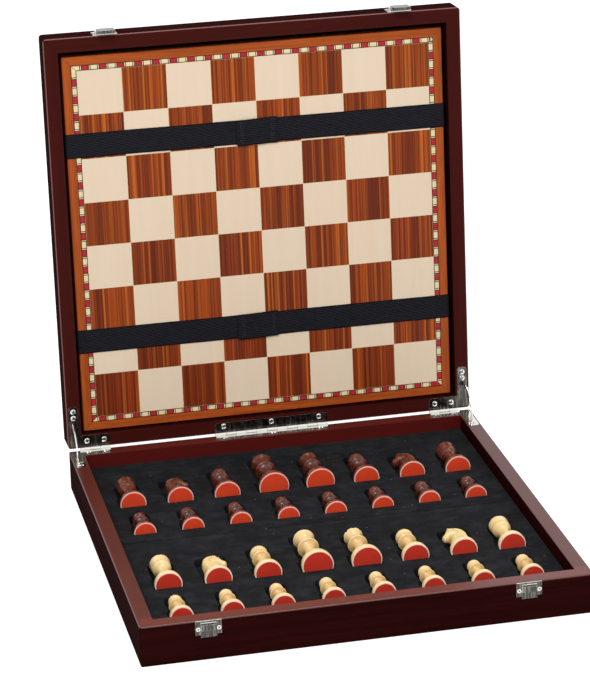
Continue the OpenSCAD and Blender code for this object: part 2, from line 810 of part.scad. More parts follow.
base_walls();
base_floor();
insert_front();
insert_rear();
lid_walls();
lid_panel();
lid_lining();
board();
strap(-strap_y);  // strap_front_half
strap(strap_y);  // strap_hinge_half
centre_leaf_base();
centre_leaf_lid();
corner_leaf_base_left();
corner_leaf_base_right();
corner_leaf_lid_left();
corner_leaf_lid_right();
stay_left();
stay_right();
hinge_pins();
screws_base();
screws_lid();
keeper(-latch_x);  // latch_keeper_left
keeper(latch_x);  // latch_keeper_right
latch_plate(-latch_x);  // latch_plate_left
latch_plate(latch_x);  // latch_plate_right
latch_lever(-latch_x);  // latch_lever_left
latch_lever(latch_x);  // latch_lever_right
latch_pins();
dark_rank(0);  // dark_rook_left
dark_rank(1);  // dark_knight_left
dark_rank(2);  // dark_bishop_left
dark_rank(3);  // dark_king
dark_rank(4);  // dark_queen
dark_rank(5);  // dark_bishop_right
dark_rank(6);  // dark_knight_right
dark_rank(7);  // dark_rook_right
dark_pawn(0);  // dark_pawn_1
dark_pawn(1);  // dark_pawn_2
dark_pawn(2);  // dark_pawn_3
dark_pawn(3);  // dark_pawn_4
dark_pawn(4);  // dark_pawn_5
dark_pawn(5);  // dark_pawn_6
dark_pawn(6);  // dark_pawn_7
dark_pawn(7);  // dark_pawn_8
light_rank(0);  // light_rook_left
light_rank(1);  // light_knight_left
light_rank(2);  // light_bishop_left
light_rank(3);  // light_king
light_rank(4);  // light_queen
light_rank(5);  // light_bishop_right
light_rank(6);  // light_knight_right
light_rank(7);  // light_rook_right
light_pawn(0);  // light_pawn_1
light_pawn(1);  // light_pawn_2
light_pawn(2);  // light_pawn_3
light_pawn(3);  // light_pawn_4
light_pawn(4);  // light_pawn_5
light_pawn(5);  // light_pawn_6
light_pawn(6);  // light_pawn_7
light_pawn(7);  // light_pawn_8
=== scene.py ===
import json
import math
import random

import bmesh
import bpy
from mathutils import Matrix, Vector, geometry, kdtree, noise


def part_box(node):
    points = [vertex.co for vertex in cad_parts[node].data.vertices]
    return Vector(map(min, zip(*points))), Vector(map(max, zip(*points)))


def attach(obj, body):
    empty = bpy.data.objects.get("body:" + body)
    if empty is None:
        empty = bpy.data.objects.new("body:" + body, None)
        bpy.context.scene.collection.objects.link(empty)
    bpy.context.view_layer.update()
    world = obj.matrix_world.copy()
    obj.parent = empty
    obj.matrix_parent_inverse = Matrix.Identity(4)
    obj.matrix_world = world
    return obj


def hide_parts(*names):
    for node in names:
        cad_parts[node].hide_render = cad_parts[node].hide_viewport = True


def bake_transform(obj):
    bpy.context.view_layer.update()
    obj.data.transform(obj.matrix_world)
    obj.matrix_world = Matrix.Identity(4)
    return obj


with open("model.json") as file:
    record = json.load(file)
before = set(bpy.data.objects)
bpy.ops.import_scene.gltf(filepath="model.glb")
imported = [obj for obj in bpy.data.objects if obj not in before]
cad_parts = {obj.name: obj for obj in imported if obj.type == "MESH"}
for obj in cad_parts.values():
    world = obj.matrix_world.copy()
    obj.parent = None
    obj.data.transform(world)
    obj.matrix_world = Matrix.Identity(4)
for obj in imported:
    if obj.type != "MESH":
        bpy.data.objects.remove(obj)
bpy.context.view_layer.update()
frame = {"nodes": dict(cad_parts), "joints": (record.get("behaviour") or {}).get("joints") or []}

bl_info = {
    "name": "Chess box",
    "version": (1, 0, 0),
    "blender": (4, 5, 0),
    "location": "3D View > Sidebar > Chess box",
    "description": "Dresses a chess box with a hinged lid, its playing board and its chess pieces",
    "category": "Add Mesh",
}

MM = 0.001
COLLECTION = bpy.context.scene.collection
JOINTS = {joint["name"]: joint for joint in frame["joints"]}
RANK = ("rook", "knight", "bishop", "king", "queen", "bishop", "knight", "rook")
SHADES = ("dark", "light")

# The frame's own measures, in metres: the base's upper corner, and the hinge's line
BASE_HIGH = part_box("base_walls")[1]
HALF = BASE_HIGH.x
RIM = BASE_HIGH.z
HINGE = Vector(JOINTS["lid_hinge"]["pos_m"])
OPEN_ANGLE = math.radians(93.9)
LID_RIM = RIM + 2 * (HINGE.z - RIM)

# From the shut lid to the open one, and from the drawing plane of the lid's inside,
# x to the right, y up, z out of the lid with its rim at 0
OPENED = Matrix.Translation(HINGE) @ Matrix.Rotation(-OPEN_ANGLE, 4, "X") @ Matrix.Translation(-HINGE)
LID_FACE = OPENED @ Matrix.Translation((0, 0, LID_RIM)) @ Matrix.Rotation(math.pi, 4, "X")


# Settings


def length(name, description, default, low=0.0, high=1.0):
    return bpy.props.FloatProperty(
        name=name, description=description, default=default, min=low, max=high, unit="LENGTH", precision=5
    )


def colour(name, description, rgb):
    """A colour property from display values between 0 and 255."""
    linear = [c / 255 / 12.92 if c < 10 else ((c / 255 + 0.055) / 1.055) ** 2.4 for c in rgb]
    return bpy.props.FloatVectorProperty(
        name=name, description=description, default=(*linear, 1), size=4, min=0, max=1, subtype="COLOR"
    )


class ChessBoxSizes(bpy.types.PropertyGroup):
    square: length("Square", "Side of one square of the board", 0.0402, 0.03, 0.05)
    joint: length("Joint", "Width of the pale line between two squares", 0.0003, 0.0001, 0.001)
    inlay: length("Inlay", "Width of the inlaid band", 0.005, 0.003, 0.008)
    frame: length("Frame", "Width of the plain frame outside the band", 0.0078, 0.005, 0.012)
    board_thickness: length("Board thickness", "Thickness of the playing board", 0.012, 0.006, 0.015)
    board_depth: length("Board depth", "From the lid's rim down to the board", 0.006, 0.003, 0.01)
    board_shift: length("Board shift", "How far the board sits towards the hinges", 0.0022, 0.0, 0.01)
    chamfer: length("Chamfer", "Chamfer on the board's edges", 0.0007, 0.0002, 0.002)
    strap_width: length("Strap width", "Width of an elastic band", 0.022, 0.015, 0.03)
    strap_thickness: length("Strap thickness", "Thickness of an elastic band", 0.001, 0.0005, 0.002)
    strap_y: length("Strap place", "Distance of each band from the board's middle", 0.0908, 0.05, 0.12)
    strap_ribs: bpy.props.IntProperty(
        name="Strap ribs", description="Ribs across the width of a band", default=15, min=4, max=40
    )
    pile_edge: length("Pile edge", "Rounding of the velvet at a recess", 0.0011, 0.0003, 0.003)
    velvet_top: length("Velvet height", "Height of the velvet's surface", 0.0224, 0.02, 0.025)
    recess_depth: length("Recess depth", "Depth of the recesses", 0.0108, 0.008, 0.012)
    metal_edge: length("Metal edge", "Rounding on the edges of sheet metal", 0.00045, 0.00005, 0.0005)
    screw_head: length("Screw head", "Radius of a hinge screw's head", 0.0026, 0.002, 0.004)
    small_head: length("Small screw head", "Radius of a latch screw's head", 0.0019, 0.001, 0.003)


class ChessBoxColours(bpy.types.PropertyGroup):
    mahogany: colour("Mahogany", "Lacquered boards of the box", (48, 12, 12))
    # Painted light: the lit tone of the inner faces of the front and rear boards
    mahogany_inner_light: colour("Warm mahogany", "Redder inner faces of the front and rear boards", (112, 34, 30))
    # Painted highlight: a pale line along the rims' outer edges
    arris_highlight: colour("Arris", "Pale line along the outer edges of the rims", (196, 146, 140))
    mahogany_dark: colour("Mahogany streaks", "Dark streaks in the boards", (24, 6, 5))
    # Painted highlight: the paler tone where light catches the rims' tops
    mahogany_rim_highlight: colour("Mahogany rims", "Paler lacquer on the worn rims", (104, 38, 30))
    maple: colour("Maple", "Light squares", (232, 212, 188))
    sapele: colour("Sapele", "Ground of the dark squares", (188, 88, 26))
    sapele_dark: colour("Sapele streaks", "Streaks in the dark squares", (92, 32, 12))
    # Also the painted shade towards the bottom of the board
    sapele_red: colour("Sapele red", "Redder sheets of the dark squares", (140, 48, 22))
    sapele_pale: colour("Sapele light", "Light streaks in the dark squares", (222, 122, 44))
    frame: colour("Frame", "Mitred frame of the board", (192, 92, 34))
    inlay_red: colour("Inlay red", "Red blocks of the band", (196, 48, 58))
    inlay_cream: colour("Inlay cream", "Cream blocks of the band", (236, 220, 178))
    inlay_black: colour("Inlay black", "Black lines of the band", (24, 17, 10))
    rosewood: colour("Rosewood", "Dark chess pieces", (134, 64, 42))
    # Also painted shade in the dark pieces' hollows
    rosewood_streaks_and_shade: colour("Rosewood streaks", "Streaks and hollows of the dark pieces", (50, 18, 13))
    # Painted highlight on the edge of the dark pieces' feet
    rosewood_foot_highlight: colour("Rosewood foot", "Bare edge of the dark pieces' feet", (232, 196, 186))
    boxwood: colour("Boxwood", "Light chess pieces", (246, 222, 166))
    boxwood_dark: colour("Boxwood streaks", "Streaks in the light pieces", (214, 176, 110))
    # Painted shade in the light pieces' hollows
    boxwood_shade: colour("Boxwood hollows", "Lacquer in the light pieces' hollows", (196, 138, 62))
    # Painted highlight on the edge of the light pieces' feet
    boxwood_foot_highlight: colour("Boxwood foot", "Bare edge of the light pieces' feet", (250, 232, 212))
    felt: colour("Orange felt", "Discs under the dark pieces", (216, 66, 32))
    felt_red: colour("Red felt", "Discs under the light pieces", (188, 46, 32))
    velvet: colour("Velvet", "Flocked panels", (25, 26, 28))
    velvet_rubbed: colour("Rubbed velvet", "Where the pile lies over", (46, 48, 52))
    lint: colour("Lint", "Specks on the velvet", (104, 104, 108))
    elastic: colour("Elastic", "Elastic bands", (11, 11, 16))
    # Painted highlight on the crests of the elastic's ribs
    elastic_crest_highlight: colour("Elastic ribs", "Ribs of the elastic bands", (50, 50, 60))
    thread: colour("Thread", "Stitches of the elastic bands", (78, 80, 92))
    nickel: colour("Nickel", "Plated sheet metal and its bright edges", (238, 236, 230))
    # Painted dark reflection on upright plates, and painted shade at the knuckles and on screws
    nickel_shade_and_reflection: colour("Dark nickel", "Dulled faces of the upright plates", (74, 72, 68))


# Node trees


def add(tree, kind, inputs=None, **settings):
    """Adds a node. An input's value may be a socket, which is then linked."""
    node = tree.nodes.new(kind)
    for key, value in settings.items():
        setattr(node, key, value)
    for key, value in (inputs or {}).items():
        if isinstance(value, bpy.types.NodeSocket):
            tree.links.new(value, node.inputs[key])
        else:
            node.inputs[key].default_value = value
    return node


def math_node(tree, operation, a, b=0.0, clamp=False):
    return add(tree, "ShaderNodeMath", {0: a, 1: b}, operation=operation, use_clamp=clamp).outputs[0]


def product(tree, a, b):
    return math_node(tree, "MULTIPLY", a, b)


def vector_math(tree, operation, inputs):
    return add(tree, "ShaderNodeVectorMath", inputs, operation=operation).outputs[0]


def parts_of(tree, vector):
    """The three parts of a vector."""
    return add(tree, "ShaderNodeSeparateXYZ", {0: vector}).outputs


def carried(tree, name, output="Fac"):
    """A value or vector that the mesh carries itself."""
    return add(tree, "ShaderNodeAttribute", attribute_name=name).outputs[output]


def mix_colours(tree, factor, a, b):
    return add(tree, "ShaderNodeMix", {0: factor, 6: a, 7: b}, data_type="RGBA").outputs[2]


def tinted(tree, tone, colour, mask, share):
    """A tone with another colour over it, as far as a mask times a share says."""
    return mix_colours(tree, product(tree, mask, share), tone, colour)


def ramp(tree, value, low, high, start=0.0, end=1.0):
    """Maps low..high to start..end and clamps."""
    names = {"Value": value, "From Min": low, "From Max": high, "To Min": start, "To Max": end}
    return add(tree, "ShaderNodeMapRange", names).outputs[0]


SOCKETS = {
    "vector": "NodeSocketVector",
    "float": "NodeSocketFloat",
    "int": "NodeSocketInt",
    "object": "NodeSocketObject",
    "material": "NodeSocketMaterial",
}


def new_group(name, inputs, outputs):
    """A shader node group with named sockets, its input node and its output node."""
    tree = bpy.data.node_groups.new(name, "ShaderNodeTree")
    for label, kind, default in inputs:
        socket = tree.interface.new_socket(label, in_out="INPUT", socket_type=SOCKETS[kind])
        if default is not None:
            socket.default_value = default
    for label, kind in outputs:
        tree.interface.new_socket(label, in_out="OUTPUT", socket_type=SOCKETS[kind])
    return tree, tree.nodes.new("NodeGroupInput"), tree.nodes.new("NodeGroupOutput")


def use_group(tree, name, inputs):
    return add(tree, "ShaderNodeGroup", inputs, node_tree=group(name)).outputs


def scaled(tree, vector, scale, rotation=(0, 0, 0), location=(0, 0, 0)):
    inputs = {"Vector": vector, "Scale": scale, "Rotation": rotation, "Location": location}
    return add(tree, "ShaderNodeMapping", inputs).outputs[0]


def noise_at(tree, vector, scale, detail=3.0, roughness=0.55):
    inputs = {"Vector": vector, "Scale": scale, "Detail": detail, "Roughness": roughness}
    return add(tree, "ShaderNodeTexNoise", inputs).outputs["Fac"]


def grain_group():
    """Wood grain that runs along X: broad streaks, fine pores and a height."""
    tree, given, made = new_group(
        "Wood grain",
        [
            ("Vector", "vector", None),
            ("Streak width", "float", 0.004),
            ("Pore width", "float", 0.0006),
            ("Stretch", "vector", (0.035, 1, 1)),
            ("Lean", "float", 0.008),
        ],
        [("Streaks", "float"), ("Pores", "float"), ("Height", "float")],
    )
    vector = given.outputs["Vector"]
    wander = scaled(tree, vector, (1, 5, 5))
    bend = add(tree, "ShaderNodeTexNoise", {"Vector": wander, "Scale": 7.0, "Detail": 2.0}).outputs["Color"]
    lean = vector_math(tree, "SUBTRACT", {0: bend, 1: (0.5, 0.5, 0.5)})
    lean = vector_math(tree, "SCALE", {0: lean, "Scale": given.outputs["Lean"]})
    bent = vector_math(tree, "ADD", {0: vector, 1: lean})
    streak = scaled(tree, bent, given.outputs["Stretch"])
    frequency = math_node(tree, "DIVIDE", 1.0, given.outputs["Streak width"])
    streaks = noise_at(tree, streak, frequency, 4.0, 0.6)
    pores = noise_at(tree, streak, math_node(tree, "DIVIDE", 1.0, given.outputs["Pore width"]), 2.0, 0.5)
    tree.links.new(ramp(tree, streaks, 0.3, 0.7), made.inputs["Streaks"])
    tree.links.new(ramp(tree, pores, 0.42, 0.72), made.inputs["Pores"])
    height = math_node(tree, "SUBTRACT", product(tree, streaks, 0.4), pores)
    tree.links.new(height, made.inputs["Height"])
    return tree


def mitre_group():
    """Turns the vector so that X runs along each of four mitred boards, and marks their joints."""
    tree, given, made = new_group(
        "Mitred boards",
        [("Vector", "vector", None), ("Joint", "float", 0.0002)],
        [("Vector", "vector"), ("Line", "float")],
    )
    parts = parts_of(tree, given.outputs["Vector"])
    across = math_node(tree, "ABSOLUTE", parts[0])
    along = math_node(tree, "ABSOLUTE", parts[1])
    side = math_node(tree, "GREATER_THAN", across, along)
    shifted = math_node(tree, "ADD", parts[0], 0.7)
    front = add(tree, "ShaderNodeCombineXYZ", {0: parts[0], 1: parts[1], 2: parts[2]}).outputs[0]
    sides = add(tree, "ShaderNodeCombineXYZ", {0: parts[1], 1: shifted, 2: parts[2]}).outputs[0]
    turned = add(tree, "ShaderNodeMix", {0: side, 4: front, 5: sides}, data_type="VECTOR").outputs[1]
    tree.links.new(turned, made.inputs["Vector"])
    apart = math_node(tree, "ABSOLUTE", math_node(tree, "SUBTRACT", across, along))
    tree.links.new(math_node(tree, "LESS_THAN", apart, given.outputs["Joint"]), made.inputs["Line"])
    return tree


def nap_group():
    """Short pile: a soft mottle, single specks and a fine height."""
    tree, given, made = new_group(
        "Pile",
        [("Vector", "vector", None), ("Hair", "float", 0.0004), ("Specks", "float", 0.5)],
        [("Mottle", "float"), ("Lint", "float"), ("Height", "float")],
    )
    vector = given.outputs["Vector"]
    tree.links.new(ramp(tree, noise_at(tree, vector, 42.0, 4.0, 0.6), 0.35, 0.65), made.inputs["Mottle"])
    cells = add(tree, "ShaderNodeTexVoronoi", {"Vector": vector, "Scale": 260.0}, feature="F1")
    chosen = add(tree, "ShaderNodeSeparateColor", {0: cells.outputs["Color"]}).outputs[0]
    rare = math_node(tree, "LESS_THAN", chosen, product(tree, given.outputs["Specks"], 0.05))
    small = math_node(tree, "LESS_THAN", cells.outputs["Distance"], 0.16)
    tree.links.new(product(tree, rare, small), made.inputs["Lint"])
    hair = noise_at(tree, vector, math_node(tree, "DIVIDE", 1.0, given.outputs["Hair"]), 2.0, 0.6)
    tree.links.new(hair, made.inputs["Height"])
    return tree


def rub_group():
    """Faint uneven shine from handling, as a value round 0."""
    tree, given, made = new_group(
        "Handling",
        [("Vector", "vector", None), ("Size", "float", 0.03)],
        [("Shine", "float"), ("Scratches", "float")],
    )
    vector = given.outputs["Vector"]
    broad = noise_at(tree, vector, math_node(tree, "DIVIDE", 1.0, given.outputs["Size"]), 3.0, 0.5)
    tree.links.new(ramp(tree, broad, 0.3, 0.7, -1.0, 1.0), made.inputs["Shine"])
    fine = noise_at(tree, scaled(tree, vector, (1.0, 0.05, 1.0), (0.3, 0.2, 0.5)), 3200.0, 2.0)
    tree.links.new(fine, made.inputs["Scratches"])
    return tree


GROUPS = {}


def group(name):
    makers = {"grain": grain_group, "mitre": mitre_group, "nap": nap_group, "rub": rub_group}
    if name not in GROUPS:
        GROUPS[name] = makers[name]()
    return GROUPS[name]


# Materials


MATERIALS = {}


def material(name):
    """The material of that name, made the first time that it is asked for."""
    if name not in MATERIALS:
        made = bpy.data.materials.new(name)
        made.use_nodes = True
        made.node_tree.nodes.clear()
        MATERIALS[name] = made
        MAKERS[name](made.node_tree, bpy.context.scene.chess_box_colours)
    return MATERIALS[name]


def surface(tree, inputs):
    shader = add(tree, "ShaderNodeBsdfPrincipled", inputs)
    add(tree, "ShaderNodeOutputMaterial", {"Surface": shader.outputs[0]})
    return shader


def bumped(tree, height, distance, strength=1.0):
    inputs = {"Height": height, "Distance": distance, "Strength": strength}
    return add(tree, "ShaderNodeBump", inputs).outputs[0]


def object_vector(tree):
    return add(tree, "ShaderNodeTexCoord").outputs["Object"]


def shut_vector(tree):
    """Object coordinates of a lid piece, turned back to the shut lid."""
    turn = Matrix.Rotation(OPEN_ANGLE, 4, "X")
    place = HINGE - turn @ HINGE
    return scaled(tree, object_vector(tree), (1, 1, 1), (OPEN_ANGLE, 0, 0), place)


# Where the painted light on the inner faces of the front and rear boards comes in, and where it goes out, as
# distances from the box's middle
INNER_LIGHT_IN, INNER_LIGHT_OUT = (0.172, 0.176), (0.1855, 0.1885)
LACQUER_COAT = 0.015


def lacquered(tree, tones, vector, rim=None, warm=False):
    """Dark satin lacquer, on four mitred boards where they have a rim and else on a plain panel.

    rim is its height in the shut box, how pale and how glossy it is worn, and how far its outer edges are
    rubbed. warm makes the inner faces toward front and rear redder."""
    boards = use_group(tree, "mitre", {"Vector": vector}) if rim else {"Vector": vector}
    size = {"Streak width": 0.006, "Pore width": 0.0007}
    grain = use_group(tree, "grain", {"Vector": boards["Vector"], **size})
    rub = use_group(tree, "rub", {"Vector": vector, "Size": 0.05})
    tone = tinted(tree, tones.mahogany, tones.mahogany_dark, grain["Streaks"], 0.75)
    tone = tinted(tree, tone, tones.mahogany_dark, grain["Pores"], 0.35)
    coat = LACQUER_COAT
    if rim:
        height, pale, gloss, edge = rim
        tone = tinted(tree, tone, tones.mahogany_dark, boards["Line"], 0.6)
        spot = parts_of(tree, vector)
        sides = [math_node(tree, "ABSOLUTE", spot[i]) for i in (0, 1)]
        out = math_node(tree, "MAXIMUM", *sides)
        if warm:
            # Painted light: the inner faces of the front and rear boards get a redder, paler lit tone, and
            # the rims above them more of the painted rim highlight
            inner_light = product(tree, ramp(tree, sides[1], *INNER_LIGHT_IN), ramp(tree, out, *INNER_LIGHT_OUT, 1.0, 0.0))
            tone = tinted(tree, tone, tones.mahogany_inner_light, inner_light, 0.5)
            pale = math_node(tree, "ADD", product(tree, inner_light, 0.3), pale)
        away = math_node(tree, "ABSOLUTE", math_node(tree, "SUBTRACT", spot[2], height))
        on_rim = ramp(tree, away, 0.0002, 0.0012, 1.0, 0.0)
        # Painted highlight on the rim's top, as a paler tone; the coat is glossier there too
        highlit = product(tree, on_rim, pale)
        tone = mix_colours(tree, highlit, tone, tones.mahogany_rim_highlight)
        # Painted highlight: a pale line along the outer edges of the rims' tops
        outer = product(tree, on_rim, ramp(tree, out, HALF - 0.0011, HALF - 0.0004))
        tone = tinted(tree, tone, tones.arris_highlight, outer, edge)
        coat = math_node(tree, "ADD", product(tree, highlit, gloss), LACQUER_COAT, clamp=True)
    shine = product(tree, rub["Shine"], 0.04)
    surface(
        tree,
        {
            "Base Color": tone,
            "Roughness": math_node(tree, "ADD", shine, 0.3),
            "Specular IOR Level": 0.0,
            "Coat Weight": coat,
            "Coat Roughness": 0.3,
            "Normal": bumped(tree, grain["Height"], 0.00003, 0.4),
        },
    )


def mahogany_base(tree, tones):
    lacquered(tree, tones, object_vector(tree), (RIM, 0.5, 1.8, 0.12), warm=True)


def mahogany_lid(tree, tones):
    lacquered(tree, tones, shut_vector(tree), (LID_RIM, 0.25, 0.2, 0.5))


def mahogany_panel(tree, tones):
    lacquered(tree, tones, object_vector(tree))


def mahogany_lid_panel(tree, tones):
    lacquered(tree, tones, shut_vector(tree))


def veneer(tree, light, dark, streak, pore, share, roughness=0.36):
    """Veneer whose grain follows the mesh's own grain attribute."""
    vector = carried(tree, "grain", "Vector")
    grain = use_group(tree, "grain", {"Vector": vector, "Streak width": streak, "Pore width": pore})
    tone = tinted(tree, light, dark, grain["Streaks"], share)
    tone = tinted(tree, tone, dark, grain["Pores"], share * 0.7)
    return surface(
        tree,
        {
            "Base Color": tone,
            "Roughness": roughness,
            "Specular IOR Level": 0.15,
            "Normal": bumped(tree, grain["Height"], 0.00002, 0.4),
        },
    )


def maple(tree, tones):
    veneer(tree, tones.maple, tones.boxwood_dark, 0.009, 0.0005, 0.10)


def sapele(tree, tones):
    vector = carried(tree, "grain", "Vector")
    long = (0.003, 1, 1)
    fine = {"Vector": vector, "Streak width": 0.0017, "Pore width": 0.0007, "Stretch": long, "Lean": 0.0012}
    broad = {"Vector": vector, "Streak width": 0.014, "Pore width": 0.003, "Stretch": long, "Lean": 0.0012}
    grain, bands = use_group(tree, "grain", fine), use_group(tree, "grain", broad)
    tile = parts_of(tree, vector)[2]
    tile = noise_at(tree, add(tree, "ShaderNodeCombineXYZ", {2: tile}).outputs[0], 9.0, 0.0)
    # Painted shade: the dark squares grow darker and redder towards the bottom of the open board, by the
    # hinge; each sheet also differs at random
    down = ramp(tree, parts_of(tree, shut_vector(tree))[1], -0.12, 0.16, 0.0, 0.45)
    sheet_tone_and_shade = math_node(tree, "ADD", ramp(tree, tile, 0.35, 0.65, 0.0, 0.4), down, clamp=True)
    tone = mix_colours(tree, sheet_tone_and_shade, tones.sapele, tones.sapele_red)
    wide = ramp(tree, bands["Streaks"], 0.3, 0.8, 0.0, 0.8)
    tone = mix_colours(tree, wide, tone, tones.sapele_dark)
    stripes = ramp(tree, grain["Streaks"], 0.3, 0.75, 0.0, 0.85)
    tone = mix_colours(tree, stripes, tone, tones.sapele_dark)
    pale = ramp(tree, bands["Pores"], 0.45, 0.9, 0.0, 0.6)
    tone = mix_colours(tree, pale, tone, tones.sapele_pale)
    tone = tinted(tree, tone, tones.sapele_dark, grain["Pores"], 0.4)
    surface(
        tree,
        {
            "Base Color": tone,
            "Roughness": 0.36,
            "Specular IOR Level": 0.15,
            "Normal": bumped(tree, grain["Height"], 0.00002, 0.4),
        },
    )


def frame_veneer(tree, tones):
    shader = veneer(tree, tones.frame, tones.sapele_dark, 0.004, 0.0006, 0.5)
    middle = OPENED.inverted() @ board_plane(bpy.context.scene.chess_box_sizes).translation
    centred = vector_math(tree, "SUBTRACT", {0: shut_vector(tree), 1: middle})
    joint = use_group(tree, "mitre", {"Vector": centred, "Joint": 0.0003})["Line"]
    tone = shader.inputs["Base Color"].links[0].from_socket
    tone = tinted(tree, tone, tones.sapele_dark, joint, 0.6)
    tree.links.new(tone, shader.inputs["Base Color"])


def inlay_red(tree, tones):
    veneer(tree, tones.inlay_red, tones.mahogany_dark, 0.002, 0.0004, 0.35)


def inlay_cream(tree, tones):
    veneer(tree, tones.inlay_cream, tones.boxwood_dark, 0.003, 0.0004, 0.25)


def inlay_black(tree, tones):
    veneer(tree, tones.inlay_black, tones.mahogany_dark, 0.002, 0.0004, 0.5)


def inlay_line(tree, tones):
    veneer(tree, tones.inlay_cream, tones.boxwood_dark, 0.003, 0.0004, 0.4)


def turned_wood(tree, light, dark, share, shade_tone, depth, foot_highlight):
    """Polished wood of a piece that lies along Y, with deeper colour in its hollows and a bare foot edge."""
    vector = scaled(tree, object_vector(tree), (1, 1, 1), (0, 0, math.radians(90)))
    grain = use_group(tree, "grain", {"Vector": vector, "Streak width": 0.0035, "Pore width": 0.0004})
    tone = tinted(tree, light, dark, grain["Streaks"], share)
    tone = tinted(tree, tone, dark, grain["Pores"], share * 0.25)
    # Painted shade in the hollows
    hollow_shade = carried(tree, "hollow_shade")
    tone = tinted(tree, tone, shade_tone, hollow_shade, depth)
    # Painted highlight on the foot's lowest edge
    tone = mix_colours(tree, carried(tree, "foot_highlight"), tone, foot_highlight)
    surface(
        tree,
        {
            "Base Color": tone,
            "Roughness": 0.24,
            "Specular IOR Level": 0.25,
            "Coat Weight": 0.3,
            "Coat Roughness": 0.06,
            "Normal": bumped(tree, grain["Height"], 0.000008, 0.2),
        },
    )


def rosewood(tree, tones):
    turned_wood(tree, tones.rosewood, tones.rosewood_streaks_and_shade, 0.7, tones.rosewood_streaks_and_shade, 0.9, tones.rosewood_foot_highlight)


def boxwood(tree, tones):
    turned_wood(tree, tones.boxwood, tones.boxwood_dark, 0.35, tones.boxwood_shade, 0.85, tones.boxwood_foot_highlight)


def felt(tree, tones):
    felted(tree, tones.felt, tones.felt_red)


def felt_red(tree, tones):
    felted(tree, tones.felt_red, tones.felt)


def felted(tree, light, dark):
    pile = use_group(tree, "nap", {"Vector": object_vector(tree), "Hair": 0.0003, "Specks": 0.0})
    tone = tinted(tree, light, dark, pile["Mottle"], 0.3)
    surface(
        tree,
        {
            "Base Color": tone,
            "Roughness": 0.95,
            "Specular IOR Level": 0.1,
            "Sheen Weight": 0.15,
            "Normal": bumped(tree, pile["Height"], 0.00015, 0.6),
        },
    )


def velvet(tree, tones):
    pile = use_group(tree, "nap", {"Vector": object_vector(tree), "Hair": 0.0005, "Specks": 0.6})
    clouds = noise_at(tree, scaled(tree, object_vector(tree), (1, 1.3, 1)), 60.0, 6.0, 0.68)
    lying = product(tree, ramp(tree, clouds, 0.44, 0.74), 0.7)
    tone = tinted(tree, tones.velvet, tones.elastic, pile["Mottle"], 0.35)
    tone = mix_colours(tree, lying, tone, tones.velvet_rubbed)
    tone = mix_colours(tree, pile["Lint"], tone, tones.lint)
    surface(
        tree,
        {
            "Base Color": tone,
            "Roughness": 0.9,
            "Specular IOR Level": 0.04,
            "Sheen Weight": 0.04,
            "Sheen Roughness": 0.4,
            "Normal": bumped(tree, pile["Height"], 0.0002, 0.7),
        },
    )


def elastic(tree, tones):
    vector = shut_vector(tree)
    threads = noise_at(tree, scaled(tree, vector, (0.15, 1, 1)), 1800.0, 2.0)
    rib = carried(tree, "rib")
    # Painted highlight: the ribs' crests are paler
    crest = product(tree, ramp(tree, rib, 0.45, 1.0), ramp(tree, threads, 0.25, 0.6, 0.3, 1.0))
    tone = mix_colours(tree, crest, tones.elastic, tones.elastic_crest_highlight)
    surface(
        tree,
        {
            "Base Color": tone,
            "Roughness": 0.7,
            "Specular IOR Level": 0.08,
            "Normal": bumped(tree, threads, 0.0001, 0.6),
        },
    )


def thread(tree, tones):
    twist = noise_at(tree, object_vector(tree), 2500.0, 2.0)
    tone = mix_colours(tree, ramp(tree, twist, 0.3, 0.7), tones.elastic, tones.thread)
    surface(
        tree,
        {
            "Base Color": tone,
            "Roughness": 0.6,
            "Specular IOR Level": 0.2,
            "Normal": bumped(tree, twist, 0.00005),
        },
    )


def nickel(tree, tones):
    rub = use_group(tree, "rub", {"Vector": object_vector(tree), "Size": 0.006})
    shine = product(tree, rub["Shine"], 0.03)
    # Painted shade where a screw carries it: in its cross recess and round its head's rim
    screw_shade = carried(tree, "screw_shade")
    surface(
        tree,
        {
            "Base Color": mix_colours(tree, screw_shade, tones.nickel, tones.nickel_shade_and_reflection),
            "Metallic": 1.0,
            "Roughness": math_node(tree, "ADD", shine, 0.09),
            "Normal": bumped(tree, rub["Scratches"], 0.000002, 0.1),
        },
    )


def nickel_shade_and_reflection(tree, tones):
    """Plate whose polish has gone, with faint lines from the press."""
    vector = object_vector(tree)
    lines = noise_at(tree, scaled(tree, vector, (1, 1, 0.03)), 900.0, 2.0)
    rub = use_group(tree, "rub", {"Vector": vector, "Size": 0.004})
    tone = mix_colours(tree, ramp(tree, lines, 0.5, 0.72, 0.0, 0.3), tones.nickel_shade_and_reflection, tones.nickel)
    surface(
        tree,
        {
            "Base Color": tone,
            "Metallic": 1.0,
            "Roughness": math_node(tree, "ADD", product(tree, rub["Shine"], 0.06), 0.2),
            "Normal": bumped(tree, rub["Scratches"], 0.000002, 0.1),
        },
    )


def nickel_edge(tree, tones):
    """Plate edges rubbed bright and rough, which catch the light from everywhere."""
    rub = use_group(tree, "rub", {"Vector": object_vector(tree), "Size": 0.003})
    tone = tinted(tree, tones.nickel, tones.nickel_shade_and_reflection, rub["Shine"], 0.3)
    surface(tree, {"Base Color": tone, "Metallic": 0.6, "Roughness": 0.5})


MAKERS = {
    maker.__name__: maker
    for maker in (
        mahogany_base, mahogany_lid, mahogany_panel, mahogany_lid_panel, maple, sapele, frame_veneer,
        inlay_red, inlay_cream, inlay_black, inlay_line, rosewood, boxwood, felt, felt_red, velvet,
        elastic, thread, nickel, nickel_shade_and_reflection, nickel_edge,
    )
}


# Meshes


def plain_mesh(bm, name):
    """A mesh from a bmesh, which is then freed."""
    mesh = bpy.data.meshes.new(name)
    bm.to_mesh(mesh)
    bm.free()
    return mesh


